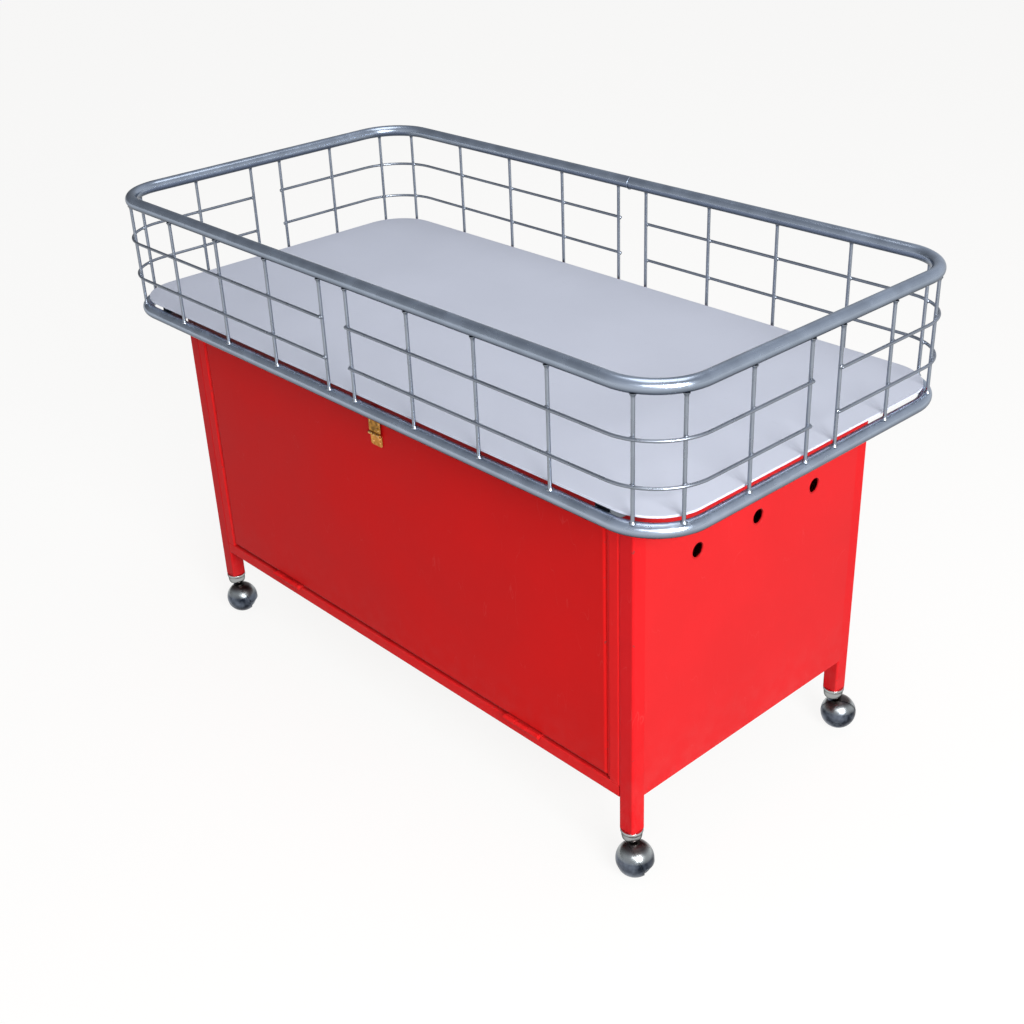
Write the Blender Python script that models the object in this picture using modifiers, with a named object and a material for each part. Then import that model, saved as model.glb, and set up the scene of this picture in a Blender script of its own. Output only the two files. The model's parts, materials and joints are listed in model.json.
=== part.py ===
"""Chrome wire sale bin on a red steel storage cabinet with ball casters.

Metres, +Z up. The origin is on the floor under the middle of the bin, X runs along
the long side and the drop-down cabinet door faces -Y.
"""
import math

import bmesh
import bpy
from mathutils import Matrix, Vector

# Basket
RIM_LENGTH = 1.200  # outside of the top rim, along X
RIM_WIDTH = 0.605  # outside of the top rim, along Y
RIM_HEIGHT = 0.767  # floor to the middle of the top rim tube
BASKET_HEIGHT = 0.1805  # between the middles of the top and base rim tubes
CORNER_RADIUS = 0.077  # of both rims, on the tube's centre line
RIM_TUBE = 0.019  # outside diameter of both rim tubes
RIM_WALL = 0.0015
UPRIGHT_WIRE = 0.005  # diameter
UPRIGHT_OUTSET = 0.003  # uprights outside the rims' centre line
GIRTH_WIRE = 0.0045  # diameter of the level wires, which run outside the uprights
UPPER_GIRTH_DROP = 0.063  # middle of the top rim down to the upper level wire
LOWER_GIRTH_DROP = 0.1225  # middle of the top rim down to the lower level wire
GIRTH_WELD = 0.0008  # how deep a level wire sinks into an upright
LONG_GAP = 0.0595  # between two wire panels in the middle of a long side
SHORT_GAP = 0.060  # between two wire panels in the middle of a short side
LONG_CELLS = 4  # wire cells from a long side's gap to the corner upright
SHORT_CELLS = 2
CORNER_UPRIGHT_ANGLE = math.radians(23.5)  # from the end of a straight side, round the corner

# Deck and the bars under it
DECK_THICKNESS = 0.0035
DECK_INSET = 0.0035  # deck edge inside the rims' centre line
CROSS_BAR = 0.025  # square tube
CROSS_BAR_DROP = 0.002  # underside of a cross-bar below that of the base rim
CROSS_BAR_WALL = 0.0015

# Cabinet
END_OVERHANG = 0.096  # top rim past the cabinet's ends
SIDE_OVERHANG = 0.0595  # top rim past the cabinet's front and back
CABINET_BOTTOM = 0.126  # floor to the underside of the front and back bottom rails
SIDE_RISE = 0.005  # underside of the cabinet's ends above that of its front and back
LEG = 0.025  # square tube
LEG_WALL = 0.0015
LEG_FOOT = 0.0735  # floor to the lower end of a leg
RAIL = 0.020  # square tube
RAIL_WALL = 0.0012
TOP_RAIL_HEIGHT = 0.0525  # of the front and back top rails
STILE = 0.018  # width of the tubes beside the door
TUBE_EDGE = 0.003  # outside edge radius of the square tubes
SHEET = 0.0012  # side panels, back panel and cabinet floor
VENT_DIAMETER = 0.022
VENT_SPACING = 0.122
VENT_COUNT = 3
VENT_DROP = 0.102  # top of the side panel to the middle of the vents

# Door and its two hinges
DOOR_GAP = 0.004  # all round the door
DOOR_DEPTH = 0.015
DOOR_SHEET = 0.0012
DOOR_EDGE = 0.002  # edge radius
HINGE_LENGTH = 0.073
HINGE_INSET = 0.165  # end of the door to the middle of a hinge
HINGE_BARREL = 0.008  # diameter
HINGE_PIN = 0.0035  # diameter
PIN_HEAD = 0.0015  # how far a pin's heads stand out past its barrel
LEAF_DEPTH = 0.014  # of a leaf behind the cabinet's face

# Hasp and staple
HASP_WIDTH = 0.027
HASP_THICKNESS = 0.0015
HASP_BARREL = 0.006  # diameter
HASP_PIN = 0.0025  # diameter
HASP_DROP = 0.0265  # door's top edge down to the hasp's pin
HASP_LEAF_HEIGHT = 0.019  # below the pin
HASP_CORNER = 0.004
STAPLE_PLATE_WIDTH = 0.022
STAPLE_PLATE_HEIGHT = 0.012
STAPLE_WIRE = 0.0025  # diameter
STAPLE_EYE = 0.006  # inside width of the loop
STAPLE_REACH = 0.014  # rail face to the outside of the loop
SLOT_CLEARANCE = 0.002  # between the staple's loop and the slot round it
STRAP_TIP = 0.003  # metal left past the slot

# Casters
BALL = 0.055  # diameter
CASTER_TRAIL = 0.010  # stem axis to the ball's middle
CASTER_TURNS = {  # where each ball trails at rest, in degrees from +X
    "front_left": 0,
    "front_right": -22,
    "back_left": 10,
    "back_right": 35,
}
AXLE_TILT = math.radians(20)  # axle below level on the wheel's side
AXLE = 0.006  # diameter
AXLE_IN_HOOD = 0.018  # depth of the axle each side of the split
AXLE_IN_WHEEL = 0.016
HOOD_WALL = 0.0025
HOOD_SKIRT = 0.003  # how far the hood reaches below the ball's middle
HOOD_BOSS = 0.013  # diameter
CORE_GAP = 0.0012  # between the inside of the hood and the core of the wheel
STEM = 0.010  # diameter
NECK = 0.015  # diameter
COLLAR_TOP = 0.032  # diameter
COLLAR_LIP = 0.006
COLLAR_BOTTOM = 0.026  # diameter
COLLAR_HEIGHT = 0.0172
SLEEVE_FIT = 0.001  # sleeve to the inside of the leg
SLEEVE_HEIGHT = 0.025
TREAD_HALF_ANGLE = math.radians(7)  # the flat tread band either side of the contact

CLEARANCE = 0.0003  # between pieces that touch
ARC_STEPS = 8  # in a rim's corner
ROUND_STEPS = 24  # round a caster
PIN_STEPS = 16
HOLE_STEPS = 20

# Heights and half sizes that follow from the sizes above
BASE_RIM_Z = RIM_HEIGHT - BASKET_HEIGHT
RIM_HALF_X = (RIM_LENGTH - RIM_TUBE) / 2
RIM_HALF_Y = (RIM_WIDTH - RIM_TUBE) / 2
CROSS_BAR_Z = BASE_RIM_Z - RIM_TUBE / 2 - CROSS_BAR_DROP + CROSS_BAR / 2
DECK_BOTTOM = CROSS_BAR_Z + CROSS_BAR / 2 + CLEARANCE
FRAME_TOP = CROSS_BAR_Z - CROSS_BAR / 2 - CLEARANCE
CABINET_HALF_X = RIM_LENGTH / 2 - END_OVERHANG
CABINET_HALF_Y = RIM_WIDTH / 2 - SIDE_OVERHANG
LEG_X = CABINET_HALF_X - LEG / 2
LEG_Y = CABINET_HALF_Y - LEG / 2
BETWEEN_LEGS_X = CABINET_HALF_X - LEG - CLEARANCE
BETWEEN_LEGS_Y = CABINET_HALF_Y - LEG - CLEARANCE
TOP_RAIL_HALF = min(BETWEEN_LEGS_X, LEG_X - CROSS_BAR / 2 - CLEARANCE)
TOP_RAIL_TOP = DECK_BOTTOM - CLEARANCE
TOP_RAIL_BOTTOM = TOP_RAIL_TOP - TOP_RAIL_HEIGHT
BOTTOM_RAIL_TOP = CABINET_BOTTOM + RAIL
FRONT = -CABINET_HALF_Y
DOOR_HALF_X = BETWEEN_LEGS_X - STILE - DOOR_GAP
DOOR_BOTTOM = BOTTOM_RAIL_TOP + DOOR_GAP
DOOR_TOP = TOP_RAIL_BOTTOM - DOOR_GAP
HINGE_Y = FRONT - CLEARANCE - HINGE_BARREL / 2
HINGE_Z = BOTTOM_RAIL_TOP + DOOR_GAP / 2
LEAF_THICKNESS = (DOOR_GAP - 3 * CLEARANCE) / 2
HASP_Y = FRONT - CLEARANCE - HASP_BARREL / 2
HASP_Z = DOOR_TOP - HASP_DROP
STAPLE_Z = TOP_RAIL_BOTTOM + CLEARANCE + STAPLE_PLATE_HEIGHT / 2

# The wheel's tread band has a level facet under the ball, which sets the ball's height
HALF_STEP = math.pi / ROUND_STEPS
TREAD_ANGLE = math.atan(math.tan(AXLE_TILT) / math.cos(HALF_STEP))
TREAD_LOW = TREAD_ANGLE - TREAD_HALF_ANGLE
TREAD_HIGH = TREAD_ANGLE + TREAD_HALF_ANGLE
BALL_Z = BALL / 2 * (
    math.cos(TREAD_LOW) * math.cos(HALF_STEP) * math.cos(AXLE_TILT)
    + math.sin(TREAD_LOW) * math.sin(AXLE_TILT)
)

SIDES = {"left": -1, "right": 1}
ENDS = {"front": -1, "back": 1}


def clear_scene():
    """Empty the scene and make the collection that holds the bin's pieces."""
    for obj in list(bpy.data.objects):
        bpy.data.objects.remove(obj, do_unlink=True)
    collection = bpy.data.collections.new("chrome_wire_sale_bin")
    bpy.context.scene.collection.children.link(collection)
    return collection


def make_material(name, colour, roughness, metallic):
    material = bpy.data.materials.new(name)
    material.use_nodes = True
    shader = material.node_tree.nodes["Principled BSDF"]
    shader.inputs["Base Color"].default_value = (*colour, 1.0)
    shader.inputs["Roughness"].default_value = roughness
    shader.inputs["Metallic"].default_value = metallic
    return material


PARTS = clear_scene()
CHROME = make_material("chrome", (0.60, 0.64, 0.70), 0.12, 1.0)
RED_PAINT = make_material("red_paint", (0.60, 0.02, 0.02), 0.35, 0.0)
WHITE_LAMINATE = make_material("white_laminate", (0.78, 0.79, 0.84), 0.22, 0.0)
BRASS = make_material("brass_plate", (0.72, 0.48, 0.18), 0.28, 1.0)
DARK_CHROME = make_material("dark_chrome", (0.16, 0.17, 0.20), 0.18, 1.0)
STEEL = make_material("pin_steel", (0.55, 0.55, 0.56), 0.30, 1.0)


def add_object(name, data, material, parent=None):
    """Link a mesh or curve as a named piece, with an optional parent on its joint axis."""
    obj = bpy.data.objects.new(name, data)
    PARTS.objects.link(obj)
    if material:
        data.materials.clear()
        data.materials.append(material)
    if parent:
        obj.parent = parent
        obj.matrix_parent_inverse = parent.matrix_world.inverted()
    return obj


def add_axis(name, location, rotation=None):
    """An empty on a joint axis, which carries the pieces that turn about it."""
    empty = bpy.data.objects.new(name, None)
    PARTS.objects.link(empty)
    matrix = Matrix.Translation(location)
    if rotation:
        matrix = matrix @ rotation.to_4x4()
    empty.matrix_world = matrix
    bpy.context.view_layer.update()
    return empty


def evaluated_mesh(obj):
    """The object's mesh with its modifiers or bevel, welded and facing out."""
    bpy.context.view_layer.update()
    graph = bpy.context.evaluated_depsgraph_get()
    mesh = bpy.data.meshes.new_from_object(obj.evaluated_get(graph))
    work = bmesh.new()
    work.from_mesh(mesh)
    bmesh.ops.remove_doubles(work, verts=work.verts, dist=1e-6)
    bmesh.ops.recalc_face_normals(work, faces=work.faces)
    work.to_mesh(mesh)
    work.free()
    return mesh


def take_mesh(obj):
    """Turn a working object into its final mesh and remove it."""
    mesh = evaluated_mesh(obj)
    mesh.transform(obj.matrix_world)
    bpy.data.objects.remove(obj, do_unlink=True)
    return mesh


def smooth(mesh, angle=35):
    mesh.shade_smooth()
    mesh.set_sharp_from_angle(angle=math.radians(angle))
    return mesh


def combine(mesh, tool_mesh, operation):
    """Boolean of two meshes that share one frame."""
    target = add_object("work", mesh, None)
    tool = add_object("tool", tool_mesh, None)
    modifier = target.modifiers.new("combine", "BOOLEAN")
    modifier.operation = operation
    modifier.object = tool
    result = take_mesh(target)
    bpy.data.objects.remove(tool, do_unlink=True)
    return result


def arc(centre, radius, start, end, steps):
    """Points along an arc, angles in radians from +X."""
    points = []
    for step in range(steps + 1):
        angle = start + (end - start) * step / steps
        points.append((centre[0] + radius * math.cos(angle), centre[1] + radius * math.sin(angle)))
    return points


def rounded_rectangle(half_x, half_y, radius, steps):
    """Outline of a rectangle with round corners, anticlockwise from +X +Y."""
    outline = []
    for quarter, (sign_x, sign_y) in enumerate(((1, 1), (-1, 1), (-1, -1), (1, -1))):
        centre = (sign_x * (half_x - radius), sign_y * (half_y - radius))
        start = quarter * math.pi / 2
        outline += arc(centre, radius, start, start + math.pi / 2, steps)
    return outline


def rectangle(half_x, half_y):
    return [(half_x, half_y), (-half_x, half_y), (-half_x, -half_y), (half_x, -half_y)]


def circle(centre, radius, steps):
    return arc(centre, radius, 0, math.tau * (steps - 1) / steps, steps - 1)


def plate(outlines, thickness):
    """Flat outlines, the later ones being holes, extruded evenly about z = 0."""
    curve = bpy.data.curves.new("outline", "CURVE")
    curve.dimensions = "2D"
    curve.fill_mode = "BOTH"
    curve.extrude = thickness / 2
    for outline in outlines:
        spline = curve.splines.new("POLY")
        spline.points.add(len(outline) - 1)
        for point, (x, y) in zip(spline.points, outline):
            point.co = (x, y, 0, 1)
        spline.use_cyclic_u = True
    return take_mesh(add_object("outline", curve, None))


def wires(routes, diameter, sides, filled=True):
    """Round wires along lists of points, as one mesh, with or without ends."""
    curve = bpy.data.curves.new("wire", "CURVE")
    curve.dimensions = "3D"
    curve.bevel_depth = diameter / 2
    curve.bevel_resolution = sides // 2 - 2
    curve.use_fill_caps = filled
    for route in routes:
        spline = curve.splines.new("POLY")
        spline.points.add(len(route) - 1)
        for point, position in zip(spline.points, route):
            point.co = (*position, 1)
    return take_mesh(add_object("wire", curve, None))


def bent_tube(route, diameter, wall, sides):
    """A hollow round tube along a list of points, open at both ends."""
    obj = add_object("tube", wires([route], diameter, sides, filled=False), None)
    shell = obj.modifiers.new("wall", "SOLIDIFY")
    shell.thickness = wall
    shell.offset = -1
    return take_mesh(obj)


def turned(profile, steps, start=0.0):
    """Turn an (r, z) profile about Z, its first facet edge at the start angle."""
    mesh = bpy.data.meshes.new("turned")
    work = bmesh.new()
    points = [work.verts.new((r, 0, z)) for r, z in profile]
    for first, second in zip(points, points[1:]):
        work.edges.new((first, second))
    if profile[0][0] > 0:
        work.edges.new((points[-1], points[0]))
    work.to_mesh(mesh)
    work.free()
    obj = add_object("turned", mesh, None)
    screw = obj.modifiers.new("turn", "SCREW")
    screw.steps = steps
    screw.render_steps = steps
    screw.use_merge_vertices = True
    screw.merge_threshold = 0.00001
    obj.rotation_euler = (0, 0, start)
    return take_mesh(obj)


def box(size, centre=(0, 0, 0), edge=0.0):
    """A box with optional rounded edges."""
    mesh = bpy.data.meshes.new("box")
    work = bmesh.new()
    bmesh.ops.create_cube(work, size=1.0)
    bmesh.ops.scale(work, vec=size, verts=work.verts)
    bmesh.ops.translate(work, vec=centre, verts=work.verts)
    work.to_mesh(mesh)
    work.free()
    if not edge:
        return mesh
    obj = add_object("box", mesh, None)
    bevel = obj.modifiers.new("edges", "BEVEL")
    bevel.width = edge
    bevel.segments = 2
    return take_mesh(obj)


def span_box(low, high, edge=0.0):
    """A box between two opposite corners."""
    low, high = Vector(low), Vector(high)
    return box(high - low, (low + high) / 2, edge)


def place(mesh, location, rotation=None):
    """Move a mesh in its own data, turning it first."""
    matrix = Matrix.Translation(location)
    if rotation:
        matrix = matrix @ rotation.to_4x4()
    mesh.transform(matrix)
    return mesh


# A plate's outline lies in X and Y. These turn it to face a side of the bin.
FACE_FRONT = Matrix(((1, 0, 0), (0, 0, -1), (0, 1, 0)))  # outline x, y along X, Z
FACE_SIDE = Matrix(((0, 0, 1), (1, 0, 0), (0, 1, 0)))  # outline x, y along Y, Z
ALONG_X = Matrix.Rotation(math.pi / 2, 3, "Y")


def square_tube(half_a, half_b, wall, length):
    """A tube of rectangular section, along Z and centred."""
    edge = min(TUBE_EDGE, half_a / 2, half_b / 2)
    outer = rounded_rectangle(half_a, half_b, edge, 2)
    inner = rectangle(half_a - wall, half_b - wall)
    return plate([outer, inner], length)


def build_rims():
    """Two bent tubes. The ends of each meet in the middle of the back."""
    for name, height in (("top_rim", RIM_HEIGHT), ("base_rim", BASE_RIM_Z)):
        outline = rounded_rectangle(RIM_HALF_X, RIM_HALF_Y, CORNER_RADIUS, ARC_STEPS)
        first_corner, others = outline[: ARC_STEPS + 1], outline[ARC_STEPS + 1 :]
        seam = CLEARANCE / 2
        outline = [(-seam, RIM_HALF_Y)] + others + first_corner + [(seam, RIM_HALF_Y)]
        route = [(x, y, height) for x, y in outline]
        add_object(name, smooth(bent_tube(route, RIM_TUBE, RIM_WALL, 12)), CHROME)


def point_round_corner(distance, outset=0.0):
    """A plan point on the quarter from the middle of a long side to that of a short side.

    Distance runs along the rim's centre line. Outset moves the point out of the basket.
    """
    long_straight = RIM_HALF_X - CORNER_RADIUS
    corner = CORNER_RADIUS * math.pi / 2
    if distance <= long_straight:
        return Vector((distance, RIM_HALF_Y + outset))
    if distance >= long_straight + corner:
        along = distance - long_straight - corner
        return Vector((RIM_HALF_X + outset, RIM_HALF_Y - CORNER_RADIUS - along))
    angle = math.pi / 2 - (distance - long_straight) / CORNER_RADIUS
    radius = CORNER_RADIUS + outset
    centre = Vector((long_straight, RIM_HALF_Y - CORNER_RADIUS))
    return centre + radius * Vector((math.cos(angle), math.sin(angle)))


def upright_distances():
    """Where the uprights of one corner panel stand, along the rim's centre line."""
    long_straight = RIM_HALF_X - CORNER_RADIUS
    short_straight = RIM_HALF_Y - CORNER_RADIUS
    quarter = long_straight + CORNER_RADIUS * math.pi / 2 + short_straight
    to_corner_wire = CORNER_RADIUS * CORNER_UPRIGHT_ANGLE
    long_cell = (long_straight + to_corner_wire - LONG_GAP / 2) / LONG_CELLS
    short_cell = (short_straight + to_corner_wire - SHORT_GAP / 2) / SHORT_CELLS
    from_long = [LONG_GAP / 2 + cell * long_cell for cell in range(LONG_CELLS + 1)]
    from_short = [quarter - SHORT_GAP / 2 - cell * short_cell for cell in range(SHORT_CELLS + 1)]
    return from_long + from_short[::-1]


def girth_distances(uprights):
    """Points along a level wire: its two ends and the steps of its corner."""
    long_straight = RIM_HALF_X - CORNER_RADIUS
    corner = CORNER_RADIUS * math.pi / 2
    steps = [long_straight + corner * step / ARC_STEPS for step in range(ARC_STEPS + 1)]
    return [uprights[0] - UPRIGHT_WIRE / 2] + steps + [uprights[-1] + UPRIGHT_WIRE / 2]


def build_wire_panels():
    """Four bent wire panels, one to a corner, welded between the two rims."""
    uprights = upright_distances()
    outset = UPRIGHT_OUTSET + (UPRIGHT_WIRE + GIRTH_WIRE) / 2 - GIRTH_WELD
    low = BASE_RIM_Z + RIM_TUBE / 2 + CLEARANCE
    high = RIM_HEIGHT - RIM_TUBE / 2 - CLEARANCE
    for end, sign_y in ENDS.items():
        for side, sign_x in SIDES.items():
            standing = []
            for distance in uprights:
                x, y = point_round_corner(distance, UPRIGHT_OUTSET)
                standing.append([(sign_x * x, sign_y * y, low), (sign_x * x, sign_y * y, high)])
            level = []
            for drop in (UPPER_GIRTH_DROP, LOWER_GIRTH_DROP):
                route = []
                for distance in girth_distances(uprights):
                    x, y = point_round_corner(distance, outset)
                    route.append((sign_x * x, sign_y * y, RIM_HEIGHT - drop))
                level.append(route)
            panel = combine(wires(standing, UPRIGHT_WIRE, 6), wires(level, GIRTH_WIRE, 6), "UNION")
            add_object(f"wire_panel_{end}_{side}", smooth(panel, 50), CHROME)


def rim_inside_y(x):
    """How far out the inside of a rim tube is on the back side, at a place along X."""
    past = max(0, x - (RIM_HALF_X - CORNER_RADIUS))
    radius = CORNER_RADIUS * math.cos(math.pi / 4 / ARC_STEPS) - RIM_TUBE / 2
    return RIM_HALF_Y - CORNER_RADIUS + math.sqrt(radius**2 - past**2)


def build_deck():
    """White board on two chrome cross-bars, which carry the base rim on the cabinet."""
    half_x = RIM_HALF_X - DECK_INSET
    half_y = RIM_HALF_Y - DECK_INSET
    outline = rounded_rectangle(half_x, half_y, CORNER_RADIUS - DECK_INSET, ARC_STEPS)
    board = place(plate([outline], DECK_THICKNESS), (0, 0, DECK_BOTTOM + DECK_THICKNESS / 2))
    add_object("deck_panel", board, WHITE_LAMINATE)
    length = 2 * (rim_inside_y(LEG_X + CROSS_BAR / 2) - CLEARANCE)
    for side, sign_x in SIDES.items():
        bar = square_tube(CROSS_BAR / 2, CROSS_BAR / 2, CROSS_BAR_WALL, length)
        place(bar, (sign_x * LEG_X, 0, CROSS_BAR_Z), FACE_FRONT)
        add_object(f"cross_bar_{side}", bar, CHROME)


def build_legs():
    for end, sign_y in ENDS.items():
        for side, sign_x in SIDES.items():
            tube = square_tube(LEG / 2, LEG / 2, LEG_WALL, FRAME_TOP - LEG_FOOT)
            place(tube, (sign_x * LEG_X, sign_y * LEG_Y, (FRAME_TOP + LEG_FOOT) / 2))
            add_object(f"leg_{end}_{side}", tube, RED_PAINT)


def build_rails():
    """Square tubes between the legs, at the top and bottom of each side."""
    half = RAIL / 2
    long_half = BETWEEN_LEGS_X
    front_y = FRONT + half
    back_y = CABINET_HALF_Y - SHEET - CLEARANCE - half
    bottom_z = CABINET_BOTTOM + half
    top_z = TOP_RAIL_TOP - TOP_RAIL_HEIGHT / 2
    for end, y in (("front", front_y), ("back", back_y)):
        rail = square_tube(half, half, RAIL_WALL, 2 * long_half)
        add_object(f"{end}_bottom_rail", place(rail, (0, y, bottom_z), ALONG_X), RED_PAINT)
        rail = square_tube(TOP_RAIL_HEIGHT / 2, half, RAIL_WALL, 2 * TOP_RAIL_HALF)
        add_object(f"{end}_top_rail", place(rail, (0, y, top_z), ALONG_X), RED_PAINT)
    low_half = (RAIL - SIDE_RISE) / 2
    for side, sign_x in SIDES.items():
        x = sign_x * (CABINET_HALF_X - SHEET - CLEARANCE - half)
        rail = square_tube(half, low_half, RAIL_WALL, 2 * BETWEEN_LEGS_Y)
        place(rail, (x, 0, BOTTOM_RAIL_TOP - low_half), FACE_FRONT)
        add_object(f"{side}_bottom_rail", rail, RED_PAINT)
        rail = square_tube(half, half, RAIL_WALL, 2 * BETWEEN_LEGS_Y)
        add_object(f"{side}_top_rail", place(rail, (x, 0, FRAME_TOP - half), FACE_FRONT), RED_PAINT)


def build_sheets():
    """Side panels with their vents, the back panel and the notched cabinet floor."""
    height = FRAME_TOP - CABINET_BOTTOM - SIDE_RISE
    middle_z = FRAME_TOP - height / 2
    vents = []
    for index in range(VENT_COUNT):
        offset = (index - (VENT_COUNT - 1) / 2) * VENT_SPACING
        vents.append(circle((offset, height / 2 - VENT_DROP), VENT_DIAMETER / 2, HOLE_STEPS))
    for side, sign_x in SIDES.items():
        sheet = plate([rectangle(BETWEEN_LEGS_Y, height / 2)] + vents, SHEET)
        place(sheet, (sign_x * (CABINET_HALF_X - SHEET / 2), 0, middle_z), FACE_SIDE)
        add_object(f"{side}_side_panel", sheet, RED_PAINT)

    back_low = (-TOP_RAIL_HALF, CABINET_HALF_Y - SHEET, CABINET_BOTTOM)
    back_high = (TOP_RAIL_HALF, CABINET_HALF_Y, TOP_RAIL_TOP)
    add_object("back_panel", span_box(back_low, back_high), RED_PAINT)

    edge_x = CABINET_HALF_X - SHEET - CLEARANCE
    back_edge = CABINET_HALF_Y - SHEET - CLEARANCE
    front_edge = FRONT + DOOR_DEPTH + CLEARANCE
    stile_x = BETWEEN_LEGS_X - STILE - CLEARANCE
    stile_y = FRONT + RAIL + CLEARANCE
    notch_x = BETWEEN_LEGS_X
    notch_y = min(BETWEEN_LEGS_Y, -stile_y - CLEARANCE)
    half_outline = [
        (stile_x, front_edge),
        (stile_x, stile_y),
        (notch_x, stile_y),
        (notch_x, -notch_y),
        (edge_x, -notch_y),
        (edge_x, notch_y),
        (notch_x, notch_y),
        (notch_x, back_edge),
    ]
    outline = half_outline + [(-x, y) for x, y in reversed(half_outline)]
    floor = place(plate([outline], SHEET), (0, 0, BOTTOM_RAIL_TOP + CLEARANCE + SHEET / 2))
    add_object("cabinet_floor", floor, RED_PAINT)


def build_stiles():
    """Tubes between the front rails, which frame the door at its two ends."""
    low = BOTTOM_RAIL_TOP + CLEARANCE
    high = TOP_RAIL_BOTTOM - CLEARANCE
    for side, sign_x in SIDES.items():
        tube = square_tube(STILE / 2, RAIL / 2, RAIL_WALL, high - low)
        x = sign_x * (BETWEEN_LEGS_X - STILE / 2)
        place(tube, (x, FRONT + RAIL / 2, (low + high) / 2))
        add_object(f"{side}_door_stile", tube, RED_PAINT)


def knuckled_leaf(leaf, axis_y, axis_z, barrel, bore, own_spans, other_spans):
    """Join a leaf to its own knuckles, then clear the other leaf's knuckles and the pin."""
    for spans, diameter, operation in (
        (other_spans, barrel + 2 * CLEARANCE, "DIFFERENCE"),
        (own_spans, barrel, "UNION"),
    ):
        for low, high in spans:
            clear = CLEARANCE if operation == "DIFFERENCE" else -CLEARANCE
            length = high - low + 2 * clear
            roll = plate([circle((0, 0), diameter / 2, PIN_STEPS)], length)
            place(roll, ((low + high) / 2, axis_y, axis_z), ALONG_X)
            leaf = combine(leaf, roll, operation)
    first, last = own_spans[0][0], own_spans[-1][1]
    hole = plate([circle((0, 0), bore / 2, PIN_STEPS)], last - first + 2 * barrel)
    place(hole, ((first + last) / 2, axis_y, axis_z), ALONG_X)
    return combine(leaf, hole, "DIFFERENCE")


def knuckle_spans(middle, length, pieces):
    """Cut a barrel into equal knuckles and deal them out to its two leaves."""
    step = length / pieces
    spans = []
    for piece in range(pieces):
        low = middle - length / 2 + piece * step
        spans.append((low, low + step))
    return spans[0::2], spans[1::2]


def headed_pin(diameter, head, length):
    """A pin along X with a flat head at each end."""
    half = length / 2
    profile = [
        (0, half + head),
        (diameter / 2 + head / 2, half + head),
        (diameter / 2 + head / 2, half + CLEARANCE),
        (diameter / 2, half + CLEARANCE),
        (diameter / 2, -half - CLEARANCE),
        (diameter / 2 + head / 2, -half - CLEARANCE),
        (diameter / 2 + head / 2, -half - head),
        (0, -half - head),
    ]
    return smooth(place(turned(profile, PIN_STEPS), (0, 0, 0), ALONG_X))


def build_door():
    """Drop-down door: a folded steel tray hinged along its bottom edge."""
    axis = add_axis("door_hinge_axis", (0, HINGE_Y, HINGE_Z))
    low = Vector((-DOOR_HALF_X, FRONT, DOOR_BOTTOM))
    high = Vector((DOOR_HALF_X, FRONT + DOOR_DEPTH, DOOR_TOP))
    tray = span_box(low, high, DOOR_EDGE)
    inset = Vector((DOOR_SHEET, DOOR_SHEET, DOOR_SHEET))
    hollow = span_box(low + inset, high - inset + Vector((0, DOOR_DEPTH, 0)))
    add_object("door_panel", smooth(combine(tray, hollow, "DIFFERENCE")), RED_PAINT, axis)
    for side, sign_x in SIDES.items():
        build_door_hinge(side, sign_x * (DOOR_HALF_X - HINGE_INSET), axis)


def build_door_hinge(side, middle, axis):
    """A butt hinge whose leaves lie one above the other in the gap under the door."""
    outer, inner = knuckle_spans(middle, HINGE_LENGTH, 3)
    low_x = middle - HINGE_LENGTH / 2 + CLEARANCE
    high_x = middle + HINGE_LENGTH / 2 - CLEARANCE
    back_y = FRONT + LEAF_DEPTH
    low_z = BOTTOM_RAIL_TOP + CLEARANCE
    high_z = DOOR_BOTTOM - CLEARANCE
    bore = HINGE_PIN + 2 * CLEARANCE
    frame = span_box((low_x, HINGE_Y, low_z), (high_x, back_y, low_z + LEAF_THICKNESS))
    frame = knuckled_leaf(frame, HINGE_Y, HINGE_Z, HINGE_BARREL, bore, outer, inner)
    add_object(f"{side}_hinge_frame_leaf", smooth(frame), RED_PAINT)
    moving = span_box((low_x, HINGE_Y, high_z - LEAF_THICKNESS), (high_x, back_y, high_z))
    moving = knuckled_leaf(moving, HINGE_Y, HINGE_Z, HINGE_BARREL, bore, inner, outer)
    add_object(f"{side}_hinge_door_leaf", smooth(moving), RED_PAINT, axis)
    pin = place(headed_pin(HINGE_PIN, PIN_HEAD, HINGE_LENGTH), (middle, HINGE_Y, HINGE_Z))
    add_object(f"{side}_hinge_pin", pin, RED_PAINT)


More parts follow.
